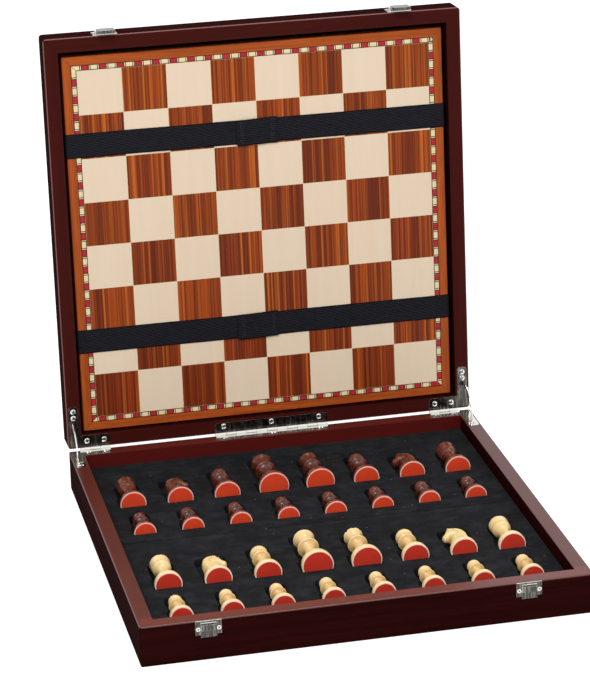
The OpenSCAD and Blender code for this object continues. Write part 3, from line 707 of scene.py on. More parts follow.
def mesh_of(bm, name, smooth_below=35.0):
    """A mesh from a bmesh, with faces outwards and shaded smooth below an angle in degrees."""
    bmesh.ops.recalc_face_normals(bm, faces=bm.faces)
    mesh = plain_mesh(bm, name)
    mesh.shade_smooth()
    mesh.set_sharp_from_angle(angle=math.radians(smooth_below))
    return mesh


def piece(name, mesh, body, materials, stands_for=()):
    """A finished piece: its object at the origin, its place in its mesh."""
    made = bpy.data.objects.new(name, mesh)
    COLLECTION.objects.link(made)
    if mesh.materials:
        mesh.materials.clear()
    for m in materials:
        mesh.materials.append(material(m))
    if body:
        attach(made, body)
    if stands_for:
        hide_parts(*stands_for)
    return made


def finish_cad(node, material_name):
    """Gives a CAD node that stays as it is its own material."""
    made = frame["nodes"][node]
    made.data.materials.clear()
    made.data.materials.append(material(material_name))


def merged_copy(node):
    """A bmesh of a CAD node's shape with its loose triangles merged and its flat faces whole."""
    bm = bmesh.new()
    bm.from_mesh(frame["nodes"][node].data)
    bmesh.ops.remove_doubles(bm, verts=bm.verts, dist=2e-6)
    bmesh.ops.dissolve_limit(bm, angle_limit=math.radians(0.5), verts=bm.verts, edges=bm.edges)
    return bm


def ease(bm, width, angle=30.0, segments=2):
    """Rounds the edges of a bmesh that are sharper than an angle in degrees."""
    sharp = [e for e in bm.edges if len(e.link_faces) == 2 and e.calc_face_angle(0) > math.radians(angle)]
    bmesh.ops.bevel(
        bm, geom=sharp, offset=width, offset_type="OFFSET", segments=segments, profile=0.5, affect="EDGES",
        clamp_overlap=True,
    )


def transformed(bm, matrix):
    bmesh.ops.transform(bm, matrix=matrix, verts=bm.verts)


def from_geometry_nodes(name, source, modifier_tree, values):
    """Runs a Geometry Nodes tree on a source mesh and returns the result as a plain mesh."""
    carrier = bpy.data.objects.new(name + "_carrier", source)
    COLLECTION.objects.link(carrier)
    modifier = carrier.modifiers.new("Nodes", "NODES")
    modifier.node_group = modifier_tree
    for item in modifier_tree.interface.items_tree:
        if item.item_type == "SOCKET" and item.in_out == "INPUT" and item.name in values:
            modifier[item.identifier] = values[item.name]
    evaluated = carrier.evaluated_get(bpy.context.evaluated_depsgraph_get())
    mesh = bpy.data.meshes.new_from_object(evaluated)
    mesh.name = name
    bpy.data.objects.remove(carrier)
    return mesh


def new_tree(name, inputs):
    """A Geometry Nodes tree with a geometry input and output and named inputs."""
    tree = bpy.data.node_groups.new(name, "GeometryNodeTree")
    tree.interface.new_socket("Geometry", in_out="INPUT", socket_type="NodeSocketGeometry")
    for label, kind in inputs:
        tree.interface.new_socket(label, in_out="INPUT", socket_type=SOCKETS[kind])
    tree.interface.new_socket("Geometry", in_out="OUTPUT", socket_type="NodeSocketGeometry")
    return tree, tree.nodes.new("NodeGroupInput"), tree.nodes.new("NodeGroupOutput")


def end_tree(tree, made, shape, finish):
    """Gives what a tree has made its material, and puts it out."""
    final = add(tree, "GeometryNodeSetMaterial", {"Geometry": shape, "Material": finish})
    tree.links.new(final.outputs[0], made.inputs[0])
    return tree


# Chess pieces

# Measures in millimetres. A profile is a list of (radius, height) from the foot up; an entry of
# four numbers is a bend: first the corner that it leans to, then the point that it reaches.
FELT_T = 0.8
KINDS = {
    "pawn": {"foot": 10.0, "head": 6.9, "depth": 6.9, "bell": 13, "length": 38.6},
    "rook": {"foot": 11.8, "head": 8.9, "depth": 8.9, "bell": 17, "length": 45.4},
    "knight": {"foot": 11.8, "head": 11.4, "depth": 7.6, "bell": 17, "length": 45.5},
    "bishop": {"foot": 11.8, "head": 8.0, "depth": 8.0, "bell": 17, "length": 54.5},
    "queen": {"foot": 13.2, "head": 8.6, "depth": 8.6, "bell": 21, "length": 58.6},
    "king": {"foot": 13.7, "head": 9.4, "depth": 9.4, "bell": 21, "length": 70.0},
}
FILE_PITCH = 42.5
ROWS = {"dark_rank": 81.3, "dark_pawn": 20.7, "light_rank": -93.2, "light_pawn": -153.5}
SEAT_GAP = 0.15


def file_x(index):
    return (index - 3.5) * FILE_PITCH


def axis_height(kind):
    """Height of a lying piece's axis above the table, in millimetres."""
    sizes = bpy.context.scene.chess_box_sizes
    return (sizes.velvet_top - sizes.recess_depth) / MM + KINDS[kind]["foot"] + SEAT_GAP


def foot_profile(radius, waist, waist_height):
    return [
        (radius - 1.0, FELT_T),
        (radius - 0.2, FELT_T + 0.15),
        (radius, FELT_T + 0.5),
        (radius, 2.9),
        (radius - 0.35, 3.1),
        (radius - 0.35, 3.35),
        (radius - 0.1, 3.6),
        (radius * 1.0, radius * 0.74, radius * 0.68, radius * 0.95),
        (radius * 0.64, radius * 1.0),
        (waist * 1.05, radius * 1.12, waist, waist_height),
    ]


def ball(centre, radius, low, high, steps=9):
    """Points of a turned ball between two angles in degrees."""
    turns = [math.radians(low + (high - low) * i / steps) for i in range(steps + 1)]
    return [(radius * math.cos(t), centre + radius * math.sin(t)) for t in turns]


PROFILES = {
    "pawn": foot_profile(10.0, 3.3, 19.5)
    + [(3.4, 20.4), (3.8, 22.4, 6.7, 23.35), (6.9, 23.65), (6.75, 24.0), (4.4, 25.4, 4.1, 27.3)]
    + ball(31.9, 5.9, -42, 62, 12)
    + [(1.6, 38.2), (1.2, 38.5), (0.0, 38.6)],
    "rook": foot_profile(11.8, 5.2, 23.5)
    + [(5.3, 25), (5.6, 28.8, 7.4, 31.2), (8.1, 32.6, 8.2, 34.2), (8.2, 34.8), (7.9, 35.0), (7.9, 35.3)]
    + [(8.25, 35.5), (8.25, 36.1), (7.9, 36.3), (7.9, 36.6), (8.25, 36.8), (8.4, 40, 8.8, 43.4)]
    + [(8.95, 44.9, 8.3, 45.3), (7.6, 45.4), (6.5, 45.3), (6.15, 45.0), (5.9, 41.6), (0, 41.2)],
    "bishop": foot_profile(11.8, 3.8, 26)
    + [(3.9, 27), (4.4, 29, 7.8, 30.2), (8, 30.5), (8, 31), (7.8, 31.3), (5.5, 31.8, 5.2, 33)]
    + [(6.0, 33.6), (6.25, 34.0), (6.1, 34.6), (4.8, 35.2), (4.6, 36), (10.2, 40.2, 5.4, 46.4)]
    + [(3.6, 48.9, 1.7, 50.5)]
    + ball(52.4, 2.1, -50, 74, 8)
    + [(0.0, 54.5)],
    "queen": foot_profile(13.2, 4.2, 30.5)
    + [(4.3, 31.5), (4.8, 33.6, 8.4, 34.8), (8.6, 35.1), (8.6, 35.6), (8.4, 35.9), (5.8, 36.3, 5.4, 37.6)]
    + [(6.6, 38.2), (6.85, 38.7), (6.7, 39.3), (5, 40.2), (4.9, 41), (5.2, 46.5, 8.2, 51.2)]
    + [(8.4, 51.8), (8.2, 52.15), (7.6, 52.2), (7.2, 51.8), (5.8, 53.4, 1.9, 54.3)]
    + ball(56.2, 2.4, -50, 74, 8)
    + [(0.0, 58.6)],
    "king": foot_profile(13.7, 4.6, 33)
    + [(4.7, 34), (5.2, 36.4, 9.1, 37.8), (9.3, 38.1), (9.3, 38.7), (9.1, 39.0), (6.4, 39.4, 6, 40.9)]
    + [(7.3, 41.5), (7.55, 42.1), (7.4, 42.8), (5.6, 43.7), (5.5, 44.5), (5.8, 50.5, 9.2, 55.4)]
    + [(9.4, 56.1), (9.2, 56.8), (8.6, 57.2), (7.2, 60.6, 2.6, 61.8), (1.8, 62.2), (1.7, 63.4), (0, 63.4)],
    "knight": [(10.8, FELT_T), (11.6, FELT_T + 0.15), (11.8, FELT_T + 0.5), (11.8, 2.9), (11.45, 3.1)]
    + [(11.45, 3.35), (11.7, 3.6), (11.7, 7.9, 9.3, 10.2), (9.55, 10.6), (9.65, 11.2), (9.4, 11.9)]
    + [(8.6, 12.4), (0, 12.6)],
}
BEND_STEPS = 9


def profile_points(profile):
    points = []
    for entry in profile:
        if len(entry) == 2:
            points.append(Vector(entry))
            continue
        start, lean, end = points[-1], Vector(entry[:2]), Vector(entry[2:])
        for i in range(1, BEND_STEPS + 1):
            t = i / BEND_STEPS
            points.append((1 - t) ** 2 * start + 2 * t * (1 - t) * lean + t * t * end)
    return points


def occlusion_at(points, radius, height):
    """How deep a point of a profile lies between what stands out above and below it, from 0 to 1."""
    above, below = 0.0, 0.0
    for r, z in points:
        gap = abs(z - height)
        if 0.05 < gap < 14 and r > radius:
            angle = math.atan2(r - radius, gap)
            if z > height:
                above = max(above, angle)
            else:
                below = max(below, angle)
    return min(1.0, (above + below) / 1.9)


def circle(bm, radius, height, around):
    """Vertices in a circle about Z."""
    angles = [math.tau * i / around for i in range(around)]
    return [bm.verts.new((radius * math.cos(a), radius * math.sin(a), height)) for a in angles]


def turned(bm, points, around=64, material_index=0):
    """Turns a profile about Z. A radius of 0 closes the shape with a pole."""
    rings = []
    hollow_shade = bm.verts.layers.float.get("hollow_shade") or bm.verts.layers.float.new("hollow_shade")
    foot_highlight = bm.verts.layers.float.get("foot_highlight") or bm.verts.layers.float.new("foot_highlight")
    for radius, height in points:
        pole = radius < 1e-6
        rings.append([bm.verts.new((0, 0, height))] if pole else circle(bm, radius, height, around))
    for (radius, height), made in zip(points, rings):
        # Painted shade for each ring, from how deep it lies between what stands out above and below it
        shade = occlusion_at(points, radius, height)
        for vert in made:
            vert[hollow_shade] = shade
            # Painted highlight on the foot's lowest edge
            vert[foot_highlight] = 1.0 if height < FELT_T + 0.3 else 0.0
    for low, high in zip(rings, rings[1:]):
        for i in range(around):
            j = (i + 1) % around
            corners = [low[i % len(low)], low[j % len(low)], high[j % len(high)], high[i % len(high)]]
            corners = list(dict.fromkeys(corners))
            if len(corners) > 2:
                bm.faces.new(corners).material_index = material_index
    for ring in (rings[0], rings[-1]):
        if len(ring) > 1:
            bm.faces.new(ring).material_index = material_index


def felt_disc(bm, radius):
    """The felt under a foot, a little smaller than it, with a soft edge."""
    r = radius - 1.1
    profile = [(r - 0.35, 0.0), (r - 0.1, 0.08), (r, 0.3), (r, FELT_T + 0.1), (0, FELT_T + 0.1)]
    turned(bm, profile, material_index=1)


def cut_with(bm, cutter):
    """Cuts one closed bmesh out of another."""
    objects = []
    for source in (bm, cutter):
        bmesh.ops.recalc_face_normals(source, faces=source.faces)
        made = bpy.data.objects.new("cut", plain_mesh(source, "cut"))
        COLLECTION.objects.link(made)
        objects.append(made)
    modifier = objects[0].modifiers.new("Cut", "BOOLEAN")
    modifier.operation = "DIFFERENCE"
    modifier.solver = "EXACT"
    modifier.object = objects[1]
    evaluated = objects[0].evaluated_get(bpy.context.evaluated_depsgraph_get())
    result = bmesh.new()
    result.from_mesh(evaluated.to_mesh())
    evaluated.to_mesh_clear()
    for made in objects:
        bpy.data.objects.remove(made)
    return result


def box_into(bm, size, matrix):
    bmesh.ops.create_cube(bm, size=1, matrix=matrix @ Matrix.Diagonal((*size, 1)))


def turned_body(kind):
    bm = bmesh.new()
    turned(bm, profile_points(PROFILES[kind]))
    return bm


def pawn_body():
    return turned_body("pawn")


def rook_body():
    """The rook with six slots in its rim."""
    cutter = bmesh.new()
    for turn in (30, 90, 150):
        place = Matrix.Rotation(math.radians(turn), 4, "Z") @ Matrix.Translation((0, 0, 45.9))
        box_into(cutter, (24, 1.7, 4), place)
    return cut_with(turned_body("rook"), cutter)


def bishop_body():
    """The bishop with the slanting cut in its head."""
    cutter = bmesh.new()
    place = Matrix.Translation((3.4, 0, 45.5)) @ Matrix.Rotation(math.radians(38), 4, "Y")
    box_into(cutter, (12, 20, 1.1), place @ Matrix.Translation((6, 0, 0)))
    return cut_with(turned_body("bishop"), cutter)


def queen_body():
    """The queen with eight scallops in her crown."""
    cutter = bmesh.new()
    size = {"segments": 24, "radius1": 1.7, "radius2": 1.7, "depth": 4}
    for i in range(8):
        turn = Matrix.Rotation(math.tau * i / 8, 4, "Z")
        place = turn @ Matrix.Translation((8.6, 0, 52.8)) @ Matrix.Rotation(math.pi / 2, 4, "Y")
        bmesh.ops.create_cone(cutter, cap_ends=True, matrix=place, **size)
    return cut_with(turned_body("queen"), cutter)


def king_body():
    """The king's turned body with its cross, which has softened arms."""
    bm = turned_body("king")
    outline = [(-1, 62.8), (-0.8, 65.2), (-2.6, 64.8), (-2.6, 67.8), (-0.8, 67.4), (-1.2, 70)]
    outline += [(-x, z) for x, z in reversed(outline)]
    cross = bmesh.new()
    front = [cross.verts.new((x, -0.9, z)) for x, z in outline]
    back = [cross.verts.new((x, 0.9, z)) for x, z in outline]
    cross.faces.new(front)
    cross.faces.new(reversed(back))
    for i in range(len(outline)):
        j = (i + 1) % len(outline)
        cross.faces.new((front[i], back[i], back[j], front[j]))
    bmesh.ops.recalc_face_normals(cross, faces=cross.faces)
    ease(cross, 0.3, 20, 2)
    part = plain_mesh(cross, "cross")
    bm.from_mesh(part)
    bpy.data.meshes.remove(part)
    return bm


# Side view of the horse, facing left: chest, jaw, nose, ear, and down the mane
HORSE = [
    (-8.2, 10.8), (-7.5, 13.6), (-6.2, 17.0), (-5.7, 20.2), (-5.3, 22.8), (-4.1, 24.8), (-3.5, 26.2),
    (-4.8, 26.9), (-7.0, 26.3), (-8.8, 25.6), (-10.1, 25.1), (-10.9, 25.7), (-10.7, 26.3), (-11.6, 26.4),
    (-12.1, 27.5), (-11.9, 29.0), (-11.0, 31.0), (-9.6, 33.3), (-8.2, 35.5), (-6.9, 37.7), (-6.0, 39.6),
    (-5.3, 41.4), (-4.6, 43.7), (-3.2, 45.4), (-2.1, 44.5), (-1.6, 42.9), (-0.4, 42.0), (1.7, 41.3),
    (4.0, 39.8), (6.0, 37.7), (7.6, 34.9), (8.6, 31.6), (9.0, 28.0), (9.0, 24.0), (8.7, 20.0),
    (8.5, 16.5), (8.8, 13.5), (9.3, 10.8),
]
# The outline's points that carry the mane, and half the horse's thickness at some heights
HORSE_MANE = (26, 36)
HORSE_DEPTHS = ((10, 7.3), (16, 6.4), (24, 5.6), (30, 5.2), (36, 4.6), (42, 3.8), (46, 3.2))
# The distance between two locks of the mane, and how far from its outline the horse is rounded
LOCK = 2.5
HORSE_MIDDLE = Vector((0.0, 28.0))
ROUNDING = 2.5


def spline_loop(points, per_span):
    """A smooth closed line through points, and for each of its points the span that it lies in."""
    line, spans = [], []
    count = len(points)
    for i in range(count):
        p = [Vector(points[(i + k) % count]) for k in (-1, 0, 1, 2)]
        for j in range(per_span):
            t = j / per_span
            a, b = (p[2] - p[0]) / 2, (p[3] - p[1]) / 2
            c = p[1] * (2 * t**3 - 3 * t**2 + 1) + a * (t**3 - 2 * t**2 + t)
            line.append(c + p[2] * (3 * t**2 - 2 * t**3) + b * (t**3 - t**2))
            spans.append(i)
    return line, spans


def soft_step(value):
    value = min(1.0, max(0.0, value))
    return value * value * (3 - 2 * value)


def dent(distance, width):
    return math.exp(-((distance / width) ** 2))


def horse_relief(p, depth, crest, run):
    """Half the horse's thickness at a point, and how deep it is carved there, from 0 to 1.

    depth is the point's distance to the outline, crest the one to the mane's edge, and run how far
    along the mane it lies."""
    spans = zip(HORSE_DEPTHS, HORSE_DEPTHS[1:])
    low, high = [pair for pair in spans if pair[0][0] <= p.y or pair[0] == HORSE_DEPTHS[0]][-1]
    half = low[1] + (high[1] - low[1]) * (p.y - low[0]) / (high[0] - low[0])
    half -= 2.0 * soft_step((-3.5 - p.x) / 7.0) * soft_step((p.y - 23.5) / 2.5)
    cheek = (p - Vector((-3.2, 31.4))).length
    under_cheek = dent(cheek - 5.3, 0.5) * soft_step((p.x + 7.0) / 2)
    half += 0.5 * soft_step((4.9 - cheek) / 1.1) - 0.4 * under_cheek
    eye = (p - Vector((-6.7, 35.2))).length
    round_eye = dent(eye - 1.5, 0.38)
    half += 0.75 * math.sqrt(max(0.0, 1 - (eye / 1.05) ** 2)) - 0.45 * round_eye
    half += 0.45 * dent((p - Vector((-5.9, 37.2))).length, 0.9)
    nostril = (p - Vector((-10.9, 28.8))).length
    half += 0.25 * dent(nostril - 0.95, 0.35) - 0.8 * dent(nostril, 0.5)
    lips = p - Vector((-12.4, 26.5))
    mouth = Vector((3.6, 1.1))
    share = min(1.0, max(0.0, lips.dot(mouth) / mouth.length_squared))
    between_lips = dent((lips - mouth * share).length, 0.35)
    half -= 0.6 * between_lips
    half -= 0.7 * dent((p - Vector((-3.2, 43.0))).length, 0.8)
    mane = soft_step((5.6 - crest) / 0.6) * soft_step((p.y - 13) / 3)
    wave = 0.5 - 0.5 * math.cos(math.tau * (run / LOCK + crest * 0.16))
    half += mane * (0.4 - 0.75 * wave**3)
    reach = 1 - min(1.0, depth / ROUNDING)
    # How much painted shade each place gets: the mane's locks, under the cheek, round the eye, the nostril,
    # between the lips and low by the foot
    carved = mane * wave**3 + under_cheek + round_eye
    carved += dent(nostril, 0.5) + between_lips + soft_step((15 - p.y) / 4)
    return max(0.02, half) * math.sqrt(1 - reach * reach), min(1.0, carved)


def nearest_of(points):
    """What finds the nearest of some flat points."""
    finder = kdtree.KDTree(len(points))
    for i, p in enumerate(points):
        finder.insert((*p, 0), i)
    finder.balance()
    return finder


def horse():
    """The carved head and neck as one closed bmesh, the same on both sides."""
    line, spans = spline_loop(HORSE, 8)
    crest_points, run = [], 0.0
    for i, span in enumerate(spans):
        if HORSE_MANE[0] <= span < HORSE_MANE[1]:
            run += (line[i] - line[i - 1]).length
            crest_points.append((line[i].copy(), run))
            inward = (HORSE_MIDDLE - line[i]).normalized()
            line[i] += inward * 0.45 * (0.5 - 0.5 * math.cos(math.tau * run / LOCK)) ** 3
    finder = nearest_of(line)
    crest = nearest_of([p for p, _ in crest_points])
    points = list(line)
    count = len(line)
    for gap in (0.1, 0.35, 0.8, 1.4):
        for i in range(count):
            along = (line[(i + 1) % count] - line[i - 1]).normalized()
            p = line[i] + Vector((along.y, -along.x)) * gap
            if finder.find((*p, 0))[2] > gap * 0.93:
                points.append(p)
    step = 0.5
    for i in range(-26, 22):
        for j in range(20, 94):
            p = Vector((i * step + (j % 2) * step / 2, j * step))
            if finder.find((*p, 0))[2] > 1.8:
                points.append(p)
    edges = [(i, (i + 1) % count) for i in range(count)]
    flat, _, faces, origins, _, _ = geometry.delaunay_2d_cdt(points, edges, [], 1, 1e-5)
    bm = bmesh.new()
    hollow_shade = bm.verts.layers.float.new("hollow_shade")
    near, far = [], []
    for p, origin in zip(flat, origins):
        on_line = any(k < count for k in origin)
        depth = 0.0 if on_line else finder.find((*p, 0))[2]
        _, index, distance = crest.find((*p, 0))
        half, carved = horse_relief(p, depth, distance, crest_points[index][1])
        half = 0.0 if on_line else half
        near.append(bm.verts.new((p.x, -half, p.y)))
        far.append(near[-1] if on_line else bm.verts.new((p.x, half, p.y)))
        # Painted shade in the carved hollows
        near[-1][hollow_shade] = far[-1][hollow_shade] = carved
    for face in faces:
        bm.faces.new([near[i] for i in face])
        bm.faces.new([far[i] for i in reversed(face)])
    bmesh.ops.delete(bm, geom=[v for v in bm.verts if not v.link_faces], context="VERTS")
    return bm


def knight_body():
    """A turned foot with a carved horse, whose ears a notch parts."""
    cutter = bmesh.new()
    box_into(cutter, (14, 3.6, 3.6), Matrix.Translation((-3, 0, 46)) @ Matrix.Rotation(math.pi / 4, 4, "X"))
    carved = cut_with(horse(), cutter)
    turned(carved, profile_points(PROFILES["knight"]))
    return carved


BODIES = {
    "pawn": pawn_body,
    "rook": rook_body,
    "knight": knight_body,
    "bishop": bishop_body,
    "queen": queen_body,
    "king": king_body,
}


def set_pieces(kind):
    """Makes one shape and lays a copy of it wherever the set has that piece."""
    bm = BODIES[kind]()
    felt_disc(bm, KINDS[kind]["foot"])
    shape = mesh_of(bm, kind, 38.0)
    for shade in SHADES:
        wood, disc = ("rosewood", "felt") if shade == "dark" else ("boxwood", "felt_red")
        for node, index, row in places_of(kind, shade):
            mesh = shape.copy()
            turn = Matrix.Rotation(-math.pi / 2, 4, "X")
            if kind == "knight" and index < 4:
                mesh.transform(Matrix.Scale(-1, 4, (1, 0, 0)))
                mesh.flip_normals()
            place = Matrix.Translation(Vector((file_x(index), ROWS[row], axis_height(kind))) * MM)
            mesh.transform(place @ turn @ Matrix.Scale(MM, 4))
            piece(node + "_finished", mesh, node, (wood, disc), (node,))
    bpy.data.meshes.remove(shape)


def places_of(kind, shade):
    """(node, file, row) of each piece of that kind and shade."""
    if kind == "pawn":
        return [(f"{shade}_pawn_{i + 1}", i, f"{shade}_pawn") for i in range(8)]
    found = [i for i, k in enumerate(RANK) if k == kind]
    if len(found) == 1:
        return [(f"{shade}_{kind}", found[0], f"{shade}_rank")]
    return [(f"{shade}_{kind}_{side}", i, f"{shade}_rank") for side, i in zip(("left", "right"), found)]


# Velvet panels


def rounded_outline(corners, steps=4):
    """A closed outline from (x, y, radius) corners: its points, and the number of each corner's first one."""
    points, firsts = [], []
    count = len(corners)
    for i, (x, y, radius) in enumerate(corners):
        corner = Vector((x, y))
        before = (Vector(corners[i - 1][:2]) - corner).normalized()
        after = (Vector(corners[(i + 1) % count][:2]) - corner).normalized()
        firsts.append(len(points))
        for k in range(steps + 1):
            t = k / steps
            points.append(corner + before * radius * (1 - t) ** 2 + after * radius * t**2)
    return points, firsts


# Room round a piece's foot and head, and the rounding and corners of a velvet panel, in millimetres
FOOT_ROOM, HEAD_ROOM = 0.9, 2.2
PANEL_ROUNDING, PANEL_CORNER = 0.8, 0.6


def recess_outline(kind, x, y, grow):
    """The outline of a piece's recess, grown outwards by some millimetres."""
    k = KINDS[kind]
    r, h = k["foot"] + FOOT_ROOM + grow, k["head"] + HEAD_ROOM + grow
    front, end = -1.0 - grow, k["length"] + 2.0 + grow
    step = k["bell"] + grow if r > h else k["bell"] - 1.0 - grow
    convex, inside, tip = 1.4 + grow, 1.6, 6.0 + grow
    foot, neck = (convex, inside) if r > h else (inside, convex)
    right = [(r, front, convex), (r, step, foot), (h, step, neck), (h, end, tip)]
    corners = right + [(-cx, cy, cr) for cx, cy, cr in reversed(right)]
    points, firsts = rounded_outline(corners)
    return [Vector((x + p.x, y + p.y)) for p in points], firsts


def ring(bm, points, z):
    return [bm.verts.new((p.x * MM, p.y * MM, z * MM)) for p in points]


def bridge(bm, outer, inner):
    count = len(outer)
    for i in range(count):
        j = (i + 1) % count
        bm.faces.new((outer[i], outer[j], inner[j], inner[i]))


def loop_edges(bm, loop):
    pairs = [(loop[i], loop[i - 1]) for i in range(len(loop))]
    return [bm.edges.get(pair) or bm.edges.new(pair) for pair in pairs]


EASING = [(1 - math.sin(t), 1 - math.cos(t)) for t in (math.radians(a) for a in (0, 22.5, 45, 67.5, 90))]


def recess(bm, kind, x, y):
    """Cuts a recess: rolled velvet edge, walls, a shelf for the head and a well for the foot."""
    sizes = bpy.context.scene.chess_box_sizes
    top, edge = sizes.velvet_top / MM, sizes.pile_edge / MM
    shelf = axis_height(kind) - KINDS[kind]["depth"] - SEAT_GAP
    well = top - sizes.recess_depth / MM
    loops = []
    for out, down in EASING:
        points, firsts = recess_outline(kind, x, y, edge * out)
        loops.append(ring(bm, points, top - edge * down))
    shelf_loop = ring(bm, points, shelf)
    loops.append(shelf_loop)
    for outer, inner in zip(loops, loops[1:]):
        bridge(bm, outer, inner)
    if KINDS[kind]["foot"] + FOOT_ROOM > KINDS[kind]["head"] + HEAD_ROOM:
        head = shelf_loop[firsts[2] + 4 : firsts[5] + 1]
    else:
        head = shelf_loop[firsts[1] : firsts[7]]
    bm.faces.new(head)
    rest = [v for v in shelf_loop if v not in head]
    first = shelf_loop.index(head[-1])
    count = len(shelf_loop)
    foot = [shelf_loop[(first + i) % count] for i in range(len(rest) + 2)]
    floor = [bm.verts.new((v.co.x, v.co.y, well * MM)) for v in foot]
    bridge(bm, foot, floor)
    bm.faces.new(floor)
    return loop_edges(bm, loops[0])


def velvet_panel(node, rank_row, pawn_row):
    """A velvet panel with rolled edges, and the recesses of one rank and its pawns."""
    low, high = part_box(node)
    top, bottom = high.z / MM, low.z / MM
    x0, y0, x1, y1 = (v / MM for v in (low.x, low.y, high.x, high.y))
    bm = bmesh.new()
    loops = []
    for out, down in EASING:
        inset = PANEL_ROUNDING * out
        left, front, right, rear = x0 + inset, y0 + inset, x1 - inset, y1 - inset
        places = ((left, front), (right, front), (right, rear), (left, rear))
        points, _ = rounded_outline([(x, y, PANEL_CORNER) for x, y in places], 2)
        loops.append(ring(bm, points, top - PANEL_ROUNDING * down))
    loops.append(ring(bm, points, bottom))
    for outer, inner in zip(loops, loops[1:]):
        bridge(bm, outer, inner)
    bm.faces.new(loops[-1])
    edges = loop_edges(bm, loops[0])
    for i, kind in enumerate(RANK):
        edges += recess(bm, kind, file_x(i), ROWS[rank_row])
        edges += recess(bm, "pawn", file_x(i), ROWS[pawn_row])
    bmesh.ops.triangle_fill(bm, use_beauty=True, use_dissolve=False, edges=edges)
    mesh = mesh_of(bm, node + "_finished", 50.0)
    piece(node + "_finished", mesh, "base", ("velvet",), (node,))


# Playing board

# How far the squares and the band stand over the board's ground
TILE_LIFT = 0.00003


def board_plane(sizes):
    """The drawing plane of the board: x to the right, y up, z towards the viewer, its face at 0."""
    return LID_FACE @ Matrix.Translation((0, -sizes.board_shift, -sizes.board_depth))


def board_half(sizes):
    return 4 * sizes.square + sizes.inlay + sizes.frame


def store(tree, shape, name, value, domain="CORNER"):
    """Keeps a vector with a shape's corners or instances, under a name."""
    inputs = {"Geometry": shape, "Name": name}
    node = add(tree, "GeometryNodeStoreNamedAttribute", inputs, data_type="FLOAT_VECTOR", domain=domain)
    tree.links.new(value, node.inputs["Value"])
    return node.outputs[0]


def stored(tree, name, kind="FLOAT_VECTOR"):
    return add(tree, "GeometryNodeInputNamedAttribute", {"Name": name}, data_type=kind).outputs[0]


def mesh_grid(tree, width, height, columns, rows):
    inputs = {"Size X": width, "Size Y": height, "Vertices X": columns, "Vertices Y": rows}
    return add(tree, "GeometryNodeMeshGrid", inputs).outputs["Mesh"]


def plate(tree, width, height):
    """A flat plate that carries its own grain vector, along Y."""
    grid = mesh_grid(tree, width, height, 2, 2)
    place = parts_of(tree, add(tree, "GeometryNodeInputPosition").outputs[0])
    turned_place = add(tree, "ShaderNodeCombineXYZ", {0: place[1], 1: place[0]})
    return store(tree, grid, "grain", turned_place.outputs[0])


def shifted_grain(tree, instances, seed):
    """Gives each instance its own stretch of veneer, and makes the instances real."""
    spread = {0: (-3.0, -3.0, -3.0), 1: (3.0, 3.0, 3.0), "Seed": seed}
    chance = add(tree, "FunctionNodeRandomValue", spread, data_type="FLOAT_VECTOR").outputs[0]
    marked = store(tree, instances, "shift", chance, "INSTANCE")
    real = add(tree, "GeometryNodeRealizeInstances", {"Geometry": marked}).outputs[0]
    total = vector_math(tree, "ADD", {0: stored(tree, "grain"), 1: stored(tree, "shift")})
    return store(tree, real, "grain", total)


def squares_tree():
    """Eight by eight squares, light ones or dark ones."""
    tree, given, made = new_tree(
        "Squares",
        [("Side", "float"), ("Joint", "float"), ("Odd", "int"), ("Seed", "int"), ("Veneer", "material")],
    )
    side, joint = given.outputs["Side"], given.outputs["Joint"]
    span = product(tree, side, 7.0)
    grid = mesh_grid(tree, span, span, 8, 8)
    index = add(tree, "GeometryNodeInputIndex").outputs[0]
    column = math_node(tree, "FLOOR", math_node(tree, "DIVIDE", math_node(tree, "ADD", index, 0.5), 8.0))
    row = math_node(tree, "MODULO", index, 8.0)
    parity = math_node(tree, "MODULO", math_node(tree, "ADD", math_node(tree, "ADD", column, row), 0.5), 2.0)
    odd = math_node(tree, "GREATER_THAN", parity, 1.0)
    inputs = {0: odd, 1: given.outputs["Odd"], "Epsilon": 0.1}
    wanted = add(tree, "FunctionNodeCompare", inputs, operation="EQUAL", data_type="FLOAT")
    size = math_node(tree, "SUBTRACT", side, joint)
    tile = plate(tree, size, size)
    points = {"Points": grid, "Instance": tile, "Selection": wanted.outputs[0]}
    placed = add(tree, "GeometryNodeInstanceOnPoints", points).outputs[0]
    real = shifted_grain(tree, placed, given.outputs["Seed"])
    return end_tree(tree, made, real, given.outputs["Veneer"])


def band_tree():
    """One kind of block of the inlaid band, repeated along one side."""
    measures = ("Half side", "Start", "Pitch", "Block length", "Block width", "Turn")
    others = [("Count", "int"), ("Seed", "int"), ("Veneer", "material")]
    tree, given, made = new_tree("Inlaid blocks", [(name, "float") for name in measures] + others)
    half, start, pitch = given.outputs["Half side"], given.outputs["Start"], given.outputs["Pitch"]
    first = add(tree, "ShaderNodeCombineXYZ", {0: start, 1: half}).outputs[0]
    step = add(tree, "ShaderNodeCombineXYZ", {0: pitch}).outputs[0]
    along = {"Count": given.outputs["Count"], "Start Location": first, "Offset": step}
    line = add(tree, "GeometryNodeMeshLine", along)
    block = plate(tree, given.outputs["Block length"], given.outputs["Block width"])
    row = add(tree, "GeometryNodeInstanceOnPoints", {"Points": line.outputs[0], "Instance": block}).outputs[0]
    real = shifted_grain(tree, row, given.outputs["Seed"])
    turn = add(tree, "ShaderNodeCombineXYZ", {2: given.outputs["Turn"]}).outputs[0]
    real = add(tree, "GeometryNodeTransform", {"Geometry": real, "Rotation": turn}).outputs[0]
    return end_tree(tree, made, real, given.outputs["Veneer"])


